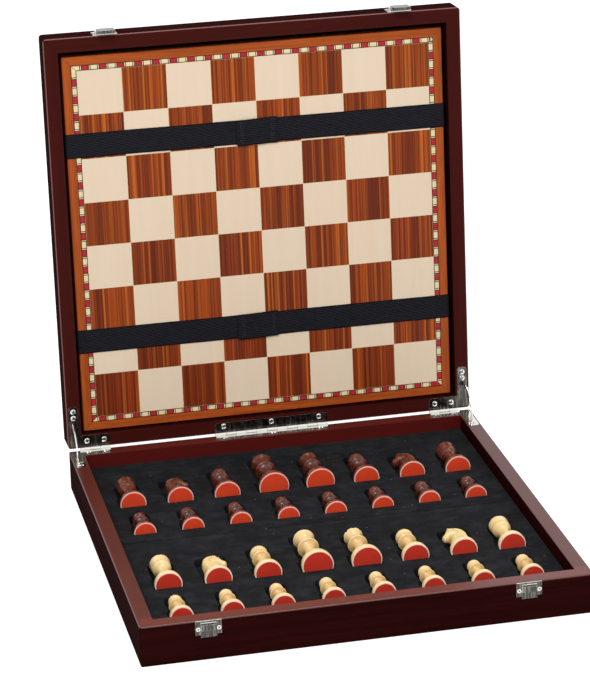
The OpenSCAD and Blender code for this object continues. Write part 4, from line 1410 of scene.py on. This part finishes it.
def board_core(sizes):
    """The board without its squares: ground, mitred frame, chamfer, edges and back."""
    bm = bmesh.new()
    grain = bm.loops.layers.float_vector.new("grain")
    half, field = board_half(sizes), 4 * sizes.square + sizes.inlay
    c, t = sizes.chamfer, sizes.board_thickness

    def square_ring(r, z):
        return [bm.verts.new((x * r, y * r, z)) for x, y in ((-1, -1), (1, -1), (1, 1), (-1, 1))]

    levels = [(field, 0), (half - c, 0), (half - c * 0.3, -c * 0.3), (half, -c), (half, c - t)]
    rings = [square_ring(r, z) for r, z in levels + [(half - c, -t)]]
    for inner, outer in zip(rings, rings[1:]):
        for i in range(4):
            j = (i + 1) % 4
            face = bm.faces.new((inner[i], outer[i], outer[j], inner[j]))
            face.material_index = 1
            for loop in face.loops:
                p = loop.vert.co
                along, across = (p.x, p.y) if i % 2 == 0 else (p.y, p.x)
                loop[grain] = (along + 0.4 * i, across + p.z + 0.3 * i, 0.17 * i)
    for face, index in ((bm.faces.new(rings[0]), 0), (bm.faces.new(reversed(rings[-1])), 1)):
        face.material_index = index
        for loop in face.loops:
            loop[grain] = (loop.vert.co.y, loop.vert.co.x, 0.9)
    return plain_mesh(bm, "board_core")


# The band as the photograph shows it. Each side has its quarter turn, the middle of its first cream
# block and the distance between cream blocks; each block its place and length as shares of that
BAND_SIDES = ((0, -0.1609, 0.01593), (1, -0.1546, 0.01564), (2, -0.1501, 0.01568), (3, -0.1567, 0.01603))
BAND_BLOCKS = (
    ("inlay_cream", 0.0, 0.36),
    ("inlay_line", 0.25, 0.05),
    ("inlay_red", 0.5, 0.36),
    ("inlay_line", 0.75, 0.05),
)
MITRE_GAP = 0.0002


def flat_mesh(name, outlines, lift=0.0):
    """Flat faces from outlines in the drawing plane, with their grain along X."""
    bm = bmesh.new()
    grain = bm.loops.layers.float_vector.new("grain")
    for outline in outlines:
        face = bm.faces.new([bm.verts.new((x, y, lift)) for x, y in outline])
        for loop in face.loops:
            loop[grain] = loop.vert.co
    return plain_mesh(bm, name)


def quarter_turned(points, turn):
    for _ in range(turn):
        points = [(-y, x) for x, y in points]
    return points


def mitred(start, end, inner, outer):
    """The outline of a block between two places along a side, cut where it passes a mitre."""
    outline = [(start, inner), (end, inner), (end, outer), (start, outer)]
    for sign in (-1, 1):
        kept = []
        for i, (x, y) in enumerate(outline):
            px, py = outline[i - 1]
            here, before = y - MITRE_GAP - sign * x, py - MITRE_GAP - sign * px
            if here * before < 0:
                t = before / (before - here)
                kept.append((px + (x - px) * t, py + (y - py) * t))
            if here >= 0:
                kept.append((x, y))
        outline = kept
    return outline


def inlaid_band(sizes):
    """(material, mesh) of the band's dark bed, its whole blocks and those that the mitres cut."""
    tree = band_tree()
    middle = 4 * sizes.square + sizes.inlay / 2
    outer, inner = middle + sizes.inlay / 2, middle - sizes.inlay / 2
    bed = [(-outer, outer), (-inner, inner), (inner, inner), (outer, outer)]
    parts = [("inlay_black", flat_mesh("bed", [quarter_turned(bed, turn) for turn in range(4)]))]
    outer, inner = middle + sizes.inlay * 0.37, middle - sizes.inlay * 0.37
    cut = {}
    for turn, first, pitch in BAND_SIDES:
        ends = {-1: [], 1: []}
        for seed, (name, place, share) in enumerate(BAND_BLOCKS):
            half = pitch * share / 2
            centres = [first + (k + place) * pitch for k in range(-1, 22)]
            whole = [c for c in centres if abs(c) + half <= inner - MITRE_GAP]
            values = {
                "Half side": middle,
                "Start": whole[0],
                "Pitch": pitch,
                "Count": len(whole),
                "Block length": 2 * half,
                "Block width": outer - inner,
                "Turn": turn * math.pi / 2,
                "Seed": 10 * turn + seed,
                "Veneer": material(name),
            }
            parts.append((name, from_geometry_nodes("blocks", bpy.data.meshes.new("none"), tree, values)))
            for c in centres:
                if abs(c) - half < inner:
                    ends[1 if c > 0 else -1].append((abs(c) + half, name))
                if c not in whole and abs(c) - half < inner:
                    end = mitred(c - half, c + half, inner, outer)
                    cut.setdefault(name, []).append(quarter_turned(end, turn))
        for sign, found in ends.items():
            reach, name = max(found)
            if name == "inlay_line":
                reach, name = reach + 0.07 * pitch, "inlay_cream"
            if reach < outer:
                filler = mitred(*sorted((sign * reach, sign * outer)), inner, outer)
                cut.setdefault(name, []).append(quarter_turned(filler, turn))
    return parts + [(name, flat_mesh("cut_blocks", outlines)) for name, outlines in cut.items()]


def playing_board(sizes):
    """The board as one mesh: frame and ground, then squares and band a hair above them."""
    layers = [(("inlay_line", "frame_veneer"), board_core(sizes), 0)]
    tree = squares_tree()
    for odd, name in ((1, "maple"), (0, "sapele")):
        values = {"Side": sizes.square, "Joint": sizes.joint, "Odd": odd, "Seed": 3 + odd}
        values["Veneer"] = material(name)
        layers.append(((name,), from_geometry_nodes(name, bpy.data.meshes.new("none"), tree, values), 1))
    for name, mesh in inlaid_band(sizes):
        layers.append(((name,), mesh, 1 if name == "inlay_black" else 2))
    bm = bmesh.new()
    slots = []
    for names, part, level in layers:
        first = len(bm.faces)
        bm.from_mesh(part)
        bm.faces.ensure_lookup_table()
        fresh = list(bm.faces)[first:]
        verts = list({v for f in fresh for v in f.verts})
        bmesh.ops.translate(bm, vec=(0, 0, level * TILE_LIFT), verts=verts)
        for face in fresh:
            name = names[min(face.material_index, len(names) - 1)]
            if name not in slots:
                slots.append(name)
            face.material_index = slots.index(name)
    transformed(bm, board_plane(sizes))
    mesh = plain_mesh(bm, "playing_board")
    piece("playing_board", mesh, "board", slots, ("board",))


# Elastic bands


# Between a band and the board, how far behind the board a band's far side lies, and the bend of
# its middle line at the board's edges
BAND_GAP = 0.00015
BAND_BEHIND = 0.0035
BAND_BEND = 0.0016


def band_path(sizes):
    """The band's closed middle line as (x, z) points, from the middle of the face to the right."""
    x = board_half(sizes) + BAND_GAP + sizes.strap_thickness / 2
    top = -sizes.board_depth + BAND_GAP + sizes.strap_thickness / 2
    bottom = -(sizes.board_depth + sizes.board_thickness + BAND_BEHIND - sizes.strap_thickness / 2)
    r = BAND_BEND
    points = []

    def run(a, b, step):
        count = max(1, round(math.dist(a, b) / step))
        dx, dz = b[0] - a[0], b[1] - a[1]
        points.extend((a[0] + dx * i / count, a[1] + dz * i / count) for i in range(count))

    def corner(cx, cz, start):
        angles = [start - t * math.pi / 12 for t in range(6)]
        points.extend((cx + r * math.cos(a), cz + r * math.sin(a)) for a in angles)

    run((0, top), (x - r, top), 0.002)
    corner(x - r, top - r, math.pi / 2)
    run((x, top - r), (x, bottom + r), 0.003)
    corner(x - r, bottom + r, 0)
    run((x - r, bottom), (r - x, bottom), 0.02)
    corner(r - x, bottom + r, -math.pi / 2)
    run((-x, bottom + r), (-x, top - r), 0.003)
    corner(r - x, top - r, math.pi)
    run((r - x, top), (0, top), 0.002)
    return points


def ribbed_strip(bm, stations, width, thickness, ribs, slant, seed, closed, lumps=0.00008):
    """A ribbed strip along stations of (point, outward direction, side direction, distance).

    slant is the length over which the ribs drift by one rib, and lumps how far the cloth bulges."""
    columns = ribs * 4
    crest = bm.verts.layers.float.new("rib")
    rows = []
    for place, out, side, distance in stations:
        outer, inner = [], []
        sway = 0.0004 * noise.noise(Vector((distance * 22, seed * 7.7, 0)))
        for i in range(columns + 1):
            v = i / columns
            fade = min(1.0, min(v, 1 - v) * columns / 3)
            phase = ribs * v - distance / slant + 0.7 * noise.noise(Vector((distance * 14, v * 2.2, seed)))
            rib = (0.5 + 0.5 * math.cos(math.tau * phase)) * fade
            y = (v - 0.5) * width + sway
            height = thickness * (0.25 + 0.25 * fade) - 0.0002 + 0.00022 * rib
            height += lumps * noise.noise(Vector((distance * 130, v * 4, seed * 3.1)))
            outer.append(bm.verts.new(place + side * y + out * height))
            outer[-1][crest] = rib
        for i in (0, columns // 3, 2 * columns // 3, columns):
            v = i / columns
            inner.append(bm.verts.new(place + side * ((v - 0.5) * width + sway) - out * thickness * 0.5))
        rows.append((outer, inner))
    pairs = list(zip(rows, rows[1:] + rows[:1] if closed else rows[1:]))
    for (outer_a, inner_a), (outer_b, inner_b) in pairs:
        for i in range(columns):
            bm.faces.new((outer_a[i], outer_b[i], outer_b[i + 1], outer_a[i + 1]))
        for i in range(3):
            bm.faces.new((inner_a[i], inner_a[i + 1], inner_b[i + 1], inner_b[i]))
        bm.faces.new((outer_a[0], inner_a[0], inner_b[0], outer_b[0]))
        bm.faces.new((outer_a[-1], outer_b[-1], inner_b[-1], inner_a[-1]))
    if not closed:
        for outer, inner in (rows[0], rows[-1]):
            bm.faces.new(outer + list(reversed(inner)))


def elastic_band(sizes, node, sign, patch_x):
    """One band round the board, with the patch where its ends are sewn together."""
    y = sign * sizes.strap_y
    path = band_path(sizes)
    count = len(path)
    stations, distance = [], 0.0
    for i, (x, z) in enumerate(path):
        before, after = Vector(path[i - 1]), Vector(path[(i + 1) % count])
        along = (after - before).normalized()
        out = Vector((-along.y, 0, along.x))
        stations.append((Vector((x, y, z)), out, Vector((0, 1, 0)), distance))
        distance += math.dist(path[i], path[(i + 1) % count])
    bm = bmesh.new()
    seed = 1.3 if sign > 0 else 4.1
    slant = distance / round(distance / 0.021)
    ribbed_strip(bm, stations, sizes.strap_width, sizes.strap_thickness, sizes.strap_ribs, slant, seed, True)
    transformed(bm, LID_FACE)
    mesh = mesh_of(bm, node + "_finished", 60.0)
    band = piece(node + "_finished", mesh, None, ("elastic",), (node,))
    patch = band_patch(sizes, node, y, patch_x, seed)
    seam = stitches(sizes, node, y, patch_x)
    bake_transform(band)


PATCH_HALF = 0.0187
PATCH_LEAN = math.radians(1.6)


def patch_stations(sizes, y, patch_x):
    """Where the overlap lies: on the band's face, a little askew."""
    top = -sizes.board_depth + BAND_GAP + sizes.strap_thickness
    stations = []
    for i in range(21):
        u = -1 + 2 * i / 20
        x = patch_x * MM + u * PATCH_HALF
        lift = 0.001 + 0.0003 * math.sin(9 * u + patch_x) if abs(u) < 0.93 else 0.0005
        place = Vector((x, y + math.sin(PATCH_LEAN) * u * PATCH_HALF, top + lift))
        stations.append((place, Vector((0, 0, 1)), Vector((0, 1, 0)), x + 0.3))
    return stations


def band_patch(sizes, node, y, patch_x, seed):
    """The overlap of a band's two ends, wider and more crumpled than the band."""
    bm = bmesh.new()
    stations = patch_stations(sizes, y, patch_x)
    width, lumps = sizes.strap_width * 1.08, 0.0007
    ribbed_strip(bm, stations, width, sizes.strap_thickness, sizes.strap_ribs, 4.0, seed + 2, False, lumps)
    transformed(bm, LID_FACE)
    mesh = mesh_of(bm, node + "_patch", 60.0)
    return piece(node + "_patch", mesh, "board", ("elastic",))


def copies_tree():
    """Copies of one object on the points of the source mesh, each with its own turn and size."""
    tree, given, made = new_tree("Copies", [("Original", "object"), ("Finish", "material")])
    info = add(tree, "GeometryNodeObjectInfo", {"Object": given.outputs["Original"]})
    rotation = add(tree, "FunctionNodeEulerToRotation", {0: stored(tree, "turn")}).outputs[0]
    inputs = {"Points": given.outputs[0], "Instance": info.outputs["Geometry"], "Rotation": rotation}
    inputs["Scale"] = stored(tree, "size", "FLOAT")
    placed = add(tree, "GeometryNodeInstanceOnPoints", inputs).outputs[0]
    real = add(tree, "GeometryNodeRealizeInstances", {"Geometry": placed}).outputs[0]
    return end_tree(tree, made, real, given.outputs["Finish"])


def placed_on_points(name, places, source, material_name):
    """Sets a copy of a small mesh on every (position, Euler turn, size) place."""
    mesh = bpy.data.meshes.new(name + "_places")
    mesh.from_pydata([p for p, _, _ in places], [], [])
    turn = mesh.attributes.new("turn", "FLOAT_VECTOR", "POINT")
    turn.data.foreach_set("vector", [c for _, t, _ in places for c in t])
    size = mesh.attributes.new("size", "FLOAT", "POINT")
    size.data.foreach_set("value", [s for _, _, s in places])
    original = bpy.data.objects.new(name + "_one", source)
    COLLECTION.objects.link(original)
    tree = bpy.data.node_groups.get("Copies") or copies_tree()
    values = {"Original": original, "Finish": material(material_name)}
    copies = from_geometry_nodes(name, mesh, tree, values)
    bpy.data.objects.remove(original)
    return copies


def thread_mesh():
    """One stitch: a short thread that dips at both ends."""
    bm = bmesh.new()
    turned(bm, [(0, -1), (0.5, -0.9), (0.62, -0.4), (0.62, 0.4), (0.5, 0.9), (0, 1)], 8)
    transformed(bm, Matrix.Rotation(math.pi / 2, 4, "X") @ Matrix.Diagonal((0.0003, 0.0003, 0.0009, 1)))
    return mesh_of(bm, "stitch", 80)


def stitches(sizes, node, y, patch_x):
    """Two rows of stitches across the overlap, near each of its ends."""
    stations = patch_stations(sizes, y, patch_x)
    places = []
    random.seed(node)
    for index in (2, 3, 17, 18):
        place, out, side, _ = stations[index]
        for i in range(10):
            across = (i - 4.5) * sizes.strap_width / 10.5
            drift = Vector((random.uniform(-0.0006, 0.0006), 0, 0))
            spot = place + side * across + out * 0.0005 + drift
            places.append((spot, (0, 0, random.uniform(-0.5, 0.5)), random.uniform(0.7, 1.2)))
    mesh = placed_on_points(node + "_stitches", places, thread_mesh(), "thread")
    mesh.transform(LID_FACE)
    return piece(node + "_stitches", mesh, "board", ("thread",))


# Metal parts

SIDES = ("left", "right")
METAL = {
    "base": (
        "centre_leaf_base",
        *(f"corner_leaf_base_{side}" for side in SIDES),
        *(f"latch_keeper_{side}" for side in SIDES),
        "hinge_pins",
    ),
    "lid": (
        "centre_leaf_lid",
        *(f"corner_leaf_lid_{side}" for side in SIDES),
        *(f"latch_plate_{side}" for side in SIDES),
        "latch_pins",
    ),
    **{f"{node}_{side}": (f"{node}_{side}",) for node in ("stay", "latch_lever") for side in SIDES},
}
# A face wider than this is broad. Distances from the hinge's line: to the knuckles' outside, and to
# where the leaves have left it
FLAT_WIDTH = 1.2 * MM
KNUCKLE_REACH = 2.05 * MM
CURL_REACH = 2.9 * MM
# Screw places on the rims and on the front, and the sizes of the screws below their heads
CENTRE_SCREWS_X = (-0.045, 0.0, 0.045)
SCREW_Y = 0.18315
CORNER_SCREWS_IN = (0.0178, 0.0336)
CORNER_SCREW_Y = 0.1832
SIDE_SCREW_X = 0.1835
SIDE_SCREWS_Y = (0.1546, 0.1606)
LATCH_X = 0.134
LATCH_SCREW_X = 0.0086
KEEPER_SCREW_UP = 0.0071
PLATE_SCREW_UP = 0.0115
SHANK = 0.0013
LARGE_SCREW = 0.009
SMALL_SCREW = 0.008


def is_broad(face):
    return 2 * face.calc_area() > FLAT_WIDTH * face.calc_perimeter()


def plane_of(face):
    """A key that faces share if they lie in the same plane."""
    steps = [round(c * 50) for c in face.normal]
    return (*steps, round(face.normal.dot(face.calc_center_median()) / 0.00005))


def metal_index(face, node, broad):
    """A face's material: 0 bright, 1 dull for upright plates and the joints of knuckles, 2 for edges."""
    if node.startswith(("stay", "hinge", "latch_pins")):
        return 0
    if "leaf" in node:
        centre = face.calc_center_median()
        from_pin = math.hypot(centre.y - HINGE.y, centre.z - HINGE.z)
        # Painted shade at the joints between knuckles and where the leaves curl round them
        if from_pin < KNUCKLE_REACH:
            return int(abs(face.normal.x) > 0.3)
        if from_pin < CURL_REACH:
            return 1
        if "base" in node and broad:
            return 0
    # Painted dark reflection on the broad faces of upright plates and of the lid's leaves
    return 1 if broad else 2


def screw_mesh(head, shank, length):
    """A countersunk screw with its cross recess, its head's top at 0 and its point downwards."""
    bm = bmesh.new()
    around, rings = 40, []
    radii = [head * k / 8 for k in range(1, 9)]
    centre = bm.verts.new((0, 0, -head * 0.3))
    for r in radii:
        row = []
        for i in range(around):
            a = math.tau * i / around
            x, y = r * math.cos(a), r * math.sin(a)
            arm = min(abs(x), abs(y))
            reach = max(abs(x), abs(y))
            depth = 0.3 * head if arm < head * 0.13 and reach < head * 0.62 else 0.0
            dome = head * 0.12 * (1 - (r / head) ** 2)
            row.append(bm.verts.new((x, y, dome - depth * (1 - 0.6 * reach / head))))
        rings.append(row)
    for i in range(around):
        bm.faces.new((centre, rings[0][i], rings[0][(i + 1) % around]))
    below = [(head, -0.00012), (shank, -(head - shank)), (shank, -length + 0.002), (shank * 0.2, -length)]
    rings += [circle(bm, r, z, around) for r, z in below]
    for low, high in zip(rings, rings[1:]):
        bridge(bm, low, high)
    bm.faces.new(rings[-1])
    # Painted shade in the cross recess, in a ring round the head and on the hidden parts below it
    screw_shade = bm.verts.layers.float.new("screw_shade")
    for vert in bm.verts:
        if vert.co.z < -0.05 * head or vert.co.xy.length > 0.99 * head:
            vert[screw_shade] = 1.0
    return mesh_of(bm, "screw", 40)


def rim_places():
    """Screw places on a rim, as x and y of the shut box."""
    places = [(x, SCREW_Y) for x in CENTRE_SCREWS_X]
    for side in (-1, 1):
        places += [(side * (HALF - x), CORNER_SCREW_Y) for x in CORNER_SCREWS_IN]
        places += [(side * SIDE_SCREW_X, y) for y in SIDE_SCREWS_Y]
    return places


def front_places(height):
    return [(s * LATCH_X + t * LATCH_SCREW_X, -HALF - 0.0008, height) for s in (-1, 1) for t in (-1, 1)]


def all_screws(sizes):
    """Every screw of the base and of the lid, each turned by chance."""
    random.seed(5)
    up, forward, down = (0, 0, 0), (math.pi / 2, 0, 0), (math.pi, 0, 0)

    def spun(turn):
        spin = Matrix.Rotation(random.uniform(0, math.pi / 2), 4, "Z")
        return tuple((Matrix.Rotation(turn[0], 4, "X") @ spin).to_euler())

    large = screw_mesh(sizes.screw_head, SHANK, LARGE_SCREW)
    small = screw_mesh(sizes.small_head, SHANK, SMALL_SCREW)
    keeper_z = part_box("latch_keeper_left")[0].z + KEEPER_SCREW_UP
    plate_z = LID_RIM + PLATE_SCREW_UP
    rows = {
        "screws_base": (
            [((x, y, RIM), spun(up), 1.0) for x, y in rim_places()],
            [(p, spun(forward), 1.0) for p in front_places(keeper_z)],
            Matrix.Identity(4),
            "base",
        ),
        "screws_lid": (
            [((x, y, LID_RIM), spun(down), 1.0) for x, y in rim_places()],
            [(p, spun(forward), 1.0) for p in front_places(plate_z)],
            OPENED,
            "lid",
        ),
    }
    for node, (on_rim, on_front, matrix, body) in rows.items():
        bm = bmesh.new()
        for places, source in ((on_rim, large), (on_front, small)):
            bm.from_mesh(placed_on_points(node, places, source.copy(), "nickel"))
        transformed(bm, matrix)
        mesh = plain_mesh(bm, node + "_finished")
        mesh.set_sharp_from_angle(angle=math.radians(40))
        piece(node + "_finished", mesh, body, ("nickel",), (node,))


# Operators


class PieceOperator:
    """What all of this add-on's operators share."""

    bl_options = {"REGISTER", "UNDO"}

    def execute(self, context):
        self.make(context.scene.chess_box_sizes)
        return {"FINISHED"}


class CHESSBOX_OT_woodwork(PieceOperator, bpy.types.Operator):
    """Lacquers the mitred boards and panels of base and lid"""

    bl_idname = "chessbox.woodwork"
    bl_label = "Woodwork"

    def make(self, sizes):
        finish_cad("base_walls", "mahogany_base")
        finish_cad("base_floor", "mahogany_panel")
        finish_cad("lid_walls", "mahogany_lid")
        finish_cad("lid_panel", "mahogany_lid_panel")


class CHESSBOX_OT_velvet(PieceOperator, bpy.types.Operator):
    """Makes the two velvet panels with their recesses, and the lid's lining"""

    bl_idname = "chessbox.velvet"
    bl_label = "Velvet"

    def make(self, sizes):
        velvet_panel("insert_front", "light_rank", "light_pawn")
        velvet_panel("insert_rear", "dark_rank", "dark_pawn")
        bm = merged_copy("lid_lining")
        ease(bm, 0.35 * MM, 40, 3)
        lining = mesh_of(bm, "lid_lining_finished")
        piece("lid_lining_finished", lining, "lid", ("velvet",), ("lid_lining",))


class CHESSBOX_OT_board(PieceOperator, bpy.types.Operator):
    """Makes the playing board: frame, inlaid band and squares"""

    bl_idname = "chessbox.board"
    bl_label = "Playing board"

    def make(self, sizes):
        playing_board(sizes)


class CHESSBOX_OT_straps(PieceOperator, bpy.types.Operator):
    """Makes the two ribbed elastic bands with their sewn overlaps"""

    bl_idname = "chessbox.straps"
    bl_label = "Elastic bands"

    def make(self, sizes):
        elastic_band(sizes, "strap_front_half", 1, -0.5)
        elastic_band(sizes, "strap_hinge_half", -1, -7.0)


class CHESSBOX_OT_metal(PieceOperator, bpy.types.Operator):
    """Finishes hinge leaves, stays, pins and latches"""

    bl_idname = "chessbox.metal"
    bl_label = "Hinges and latches"

    def make(self, sizes):
        for body, nodes in METAL.items():
            for node in nodes:
                bm = merged_copy(node)
                ease(bm, sizes.metal_edge)
                broad = {plane_of(face) for face in bm.faces if is_broad(face)}
                for face in bm.faces:
                    face.material_index = metal_index(face, node, plane_of(face) in broad)
                mesh = mesh_of(bm, node + "_finished", 15.0)
                finishes = ("nickel", "nickel_shade_and_reflection", "nickel_edge")
                piece(node + "_finished", mesh, body, finishes, (node,))


class CHESSBOX_OT_screws(PieceOperator, bpy.types.Operator):
    """Sets every screw of the hinges and latches"""

    bl_idname = "chessbox.screws"
    bl_label = "Screws"

    def make(self, sizes):
        all_screws(sizes)


def chess_operator(kind):
    """One operator for each kind of chess piece."""

    def make(self, sizes):
        set_pieces(kind)

    name = f"CHESSBOX_OT_{kind}s"
    words = {
        "__doc__": f"Turns and lays out every {kind} of both sides",
        "bl_idname": f"chessbox.{kind}s",
        "bl_label": f"{kind.capitalize()}s",
        "make": make,
    }
    return type(name, (PieceOperator, bpy.types.Operator), words)


CHESS_OPERATORS = [chess_operator(kind) for kind in KINDS]


# Stage


def seen_directly(tree):
    """1 for what the camera sees, straight or through metal and glass."""
    path = add(tree, "ShaderNodeLightPath").outputs
    seen = math_node(tree, "ADD", path["Is Camera Ray"], path["Is Glossy Ray"], clamp=True)
    return math_node(tree, "ADD", seen, path["Is Transmission Ray"], clamp=True)


def floor_material():
    made = bpy.data.materials.new("floor")
    made.use_nodes = True
    tree = made.node_tree
    tree.nodes.clear()
    mottle = noise_at(tree, object_vector(tree), 3.0)
    shade = mix_colours(tree, ramp(tree, mottle, 0.3, 0.7), (0.54, 0.54, 0.54, 1), (0.56, 0.56, 0.56, 1))
    matte = add(tree, "ShaderNodeBsdfDiffuse", {"Color": shade})
    strength = product(tree, seen_directly(tree), 0.72)
    glow = add(tree, "ShaderNodeEmission", {"Color": (1, 1, 1, 1), "Strength": strength})
    both = add(tree, "ShaderNodeAddShader", {0: matte.outputs[0], 1: glow.outputs[0]})
    add(tree, "ShaderNodeOutputMaterial", {"Surface": both.outputs[0]})
    return made


def lamp(name, place, aim, size, power):
    """A square soft lamp at a place, turned to a point."""
    data = bpy.data.lights.new(name, "AREA")
    data.shape, data.size, data.energy = "SQUARE", size, power
    made = bpy.data.objects.new(name, data)
    made.location = place
    made.rotation_euler = (Vector(aim) - Vector(place)).to_track_quat("-Z", "Y").to_euler()
    COLLECTION.objects.link(made)


class CHESSBOX_OT_stage(PieceOperator, bpy.types.Operator):
    """Sets the pale floor, the soft lamps and the camera at the photograph's angle"""

    bl_idname = "chessbox.stage"
    bl_label = "Stage"

    def make(self, sizes):
        bm = bmesh.new()
        bmesh.ops.create_grid(bm, x_segments=1, y_segments=1, size=8)
        mesh = plain_mesh(bm, "floor")
        floor = bpy.data.objects.new("floor", mesh)
        COLLECTION.objects.link(floor)
        mesh.materials.append(floor_material())
        lamp("key", (-0.9, -1.8, 2.2), (0, 0, 0.15), 1.5, 52)
        lamp("fill", (1.7, -1.6, 1.5), (0, 0, 0.15), 1.4, 9)
        lamp("top", (0.2, 1.0, 2.4), (0, 0, 0.1), 1.2, 22)
        world = bpy.data.worlds.new("studio")
        bpy.context.scene.world = world
        world.use_nodes = True
        tree = world.node_tree
        tree.nodes.clear()
        strength = ramp(tree, seen_directly(tree), 0.0, 1.0, 0.5, 1.0)
        sky = add(tree, "ShaderNodeBackground", {"Color": (1, 1, 1, 1), "Strength": strength})
        add(tree, "ShaderNodeOutputWorld", {"Surface": sky.outputs[0]})
        data = bpy.data.cameras.new("camera")
        data.lens, data.sensor_width = 160.083, 36
        data.shift_x, data.shift_y = -0.02905, -0.01688
        camera = bpy.data.objects.new("camera", data)
        camera.location = (-0.5174, -2.35216, 1.09253)
        camera.rotation_euler = tuple(math.radians(a) for a in (69.72362, 1.27391, -12.89893))
        COLLECTION.objects.link(camera)
        bpy.context.scene.camera = camera
        bpy.context.scene.view_settings.view_transform = "Standard"


class CHESSBOX_PT_panel(bpy.types.Panel):
    """Lists the pieces in the sidebar"""

    bl_idname = "CHESSBOX_PT_panel"
    bl_label = "Chess box"
    bl_space_type = "VIEW_3D"
    bl_region_type = "UI"
    bl_category = "Chess box"

    def draw(self, context):
        for operator in OPERATORS:
            self.layout.operator(operator.bl_idname)
        for settings in (context.scene.chess_box_sizes, context.scene.chess_box_colours):
            column = self.layout.column()
            for name in settings.__annotations__:
                column.prop(settings, name)


OPERATORS = [
    CHESSBOX_OT_woodwork,
    CHESSBOX_OT_velvet,
    CHESSBOX_OT_board,
    CHESSBOX_OT_straps,
    CHESSBOX_OT_metal,
    CHESSBOX_OT_screws,
    *CHESS_OPERATORS,
    CHESSBOX_OT_stage,
]
CLASSES = [ChessBoxSizes, ChessBoxColours, *OPERATORS, CHESSBOX_PT_panel]


def register():
    for one in CLASSES:
        bpy.utils.register_class(one)
    bpy.types.Scene.chess_box_sizes = bpy.props.PointerProperty(type=ChessBoxSizes)
    bpy.types.Scene.chess_box_colours = bpy.props.PointerProperty(type=ChessBoxColours)


def unregister():
    del bpy.types.Scene.chess_box_sizes
    del bpy.types.Scene.chess_box_colours
    for one in reversed(CLASSES):
        bpy.utils.unregister_class(one)


def main():
    register()
    for operator in OPERATORS:
        group_name, name = operator.bl_idname.split(".")
        getattr(getattr(bpy.ops, group_name), name)()


if __name__ == "__main__":
    main()
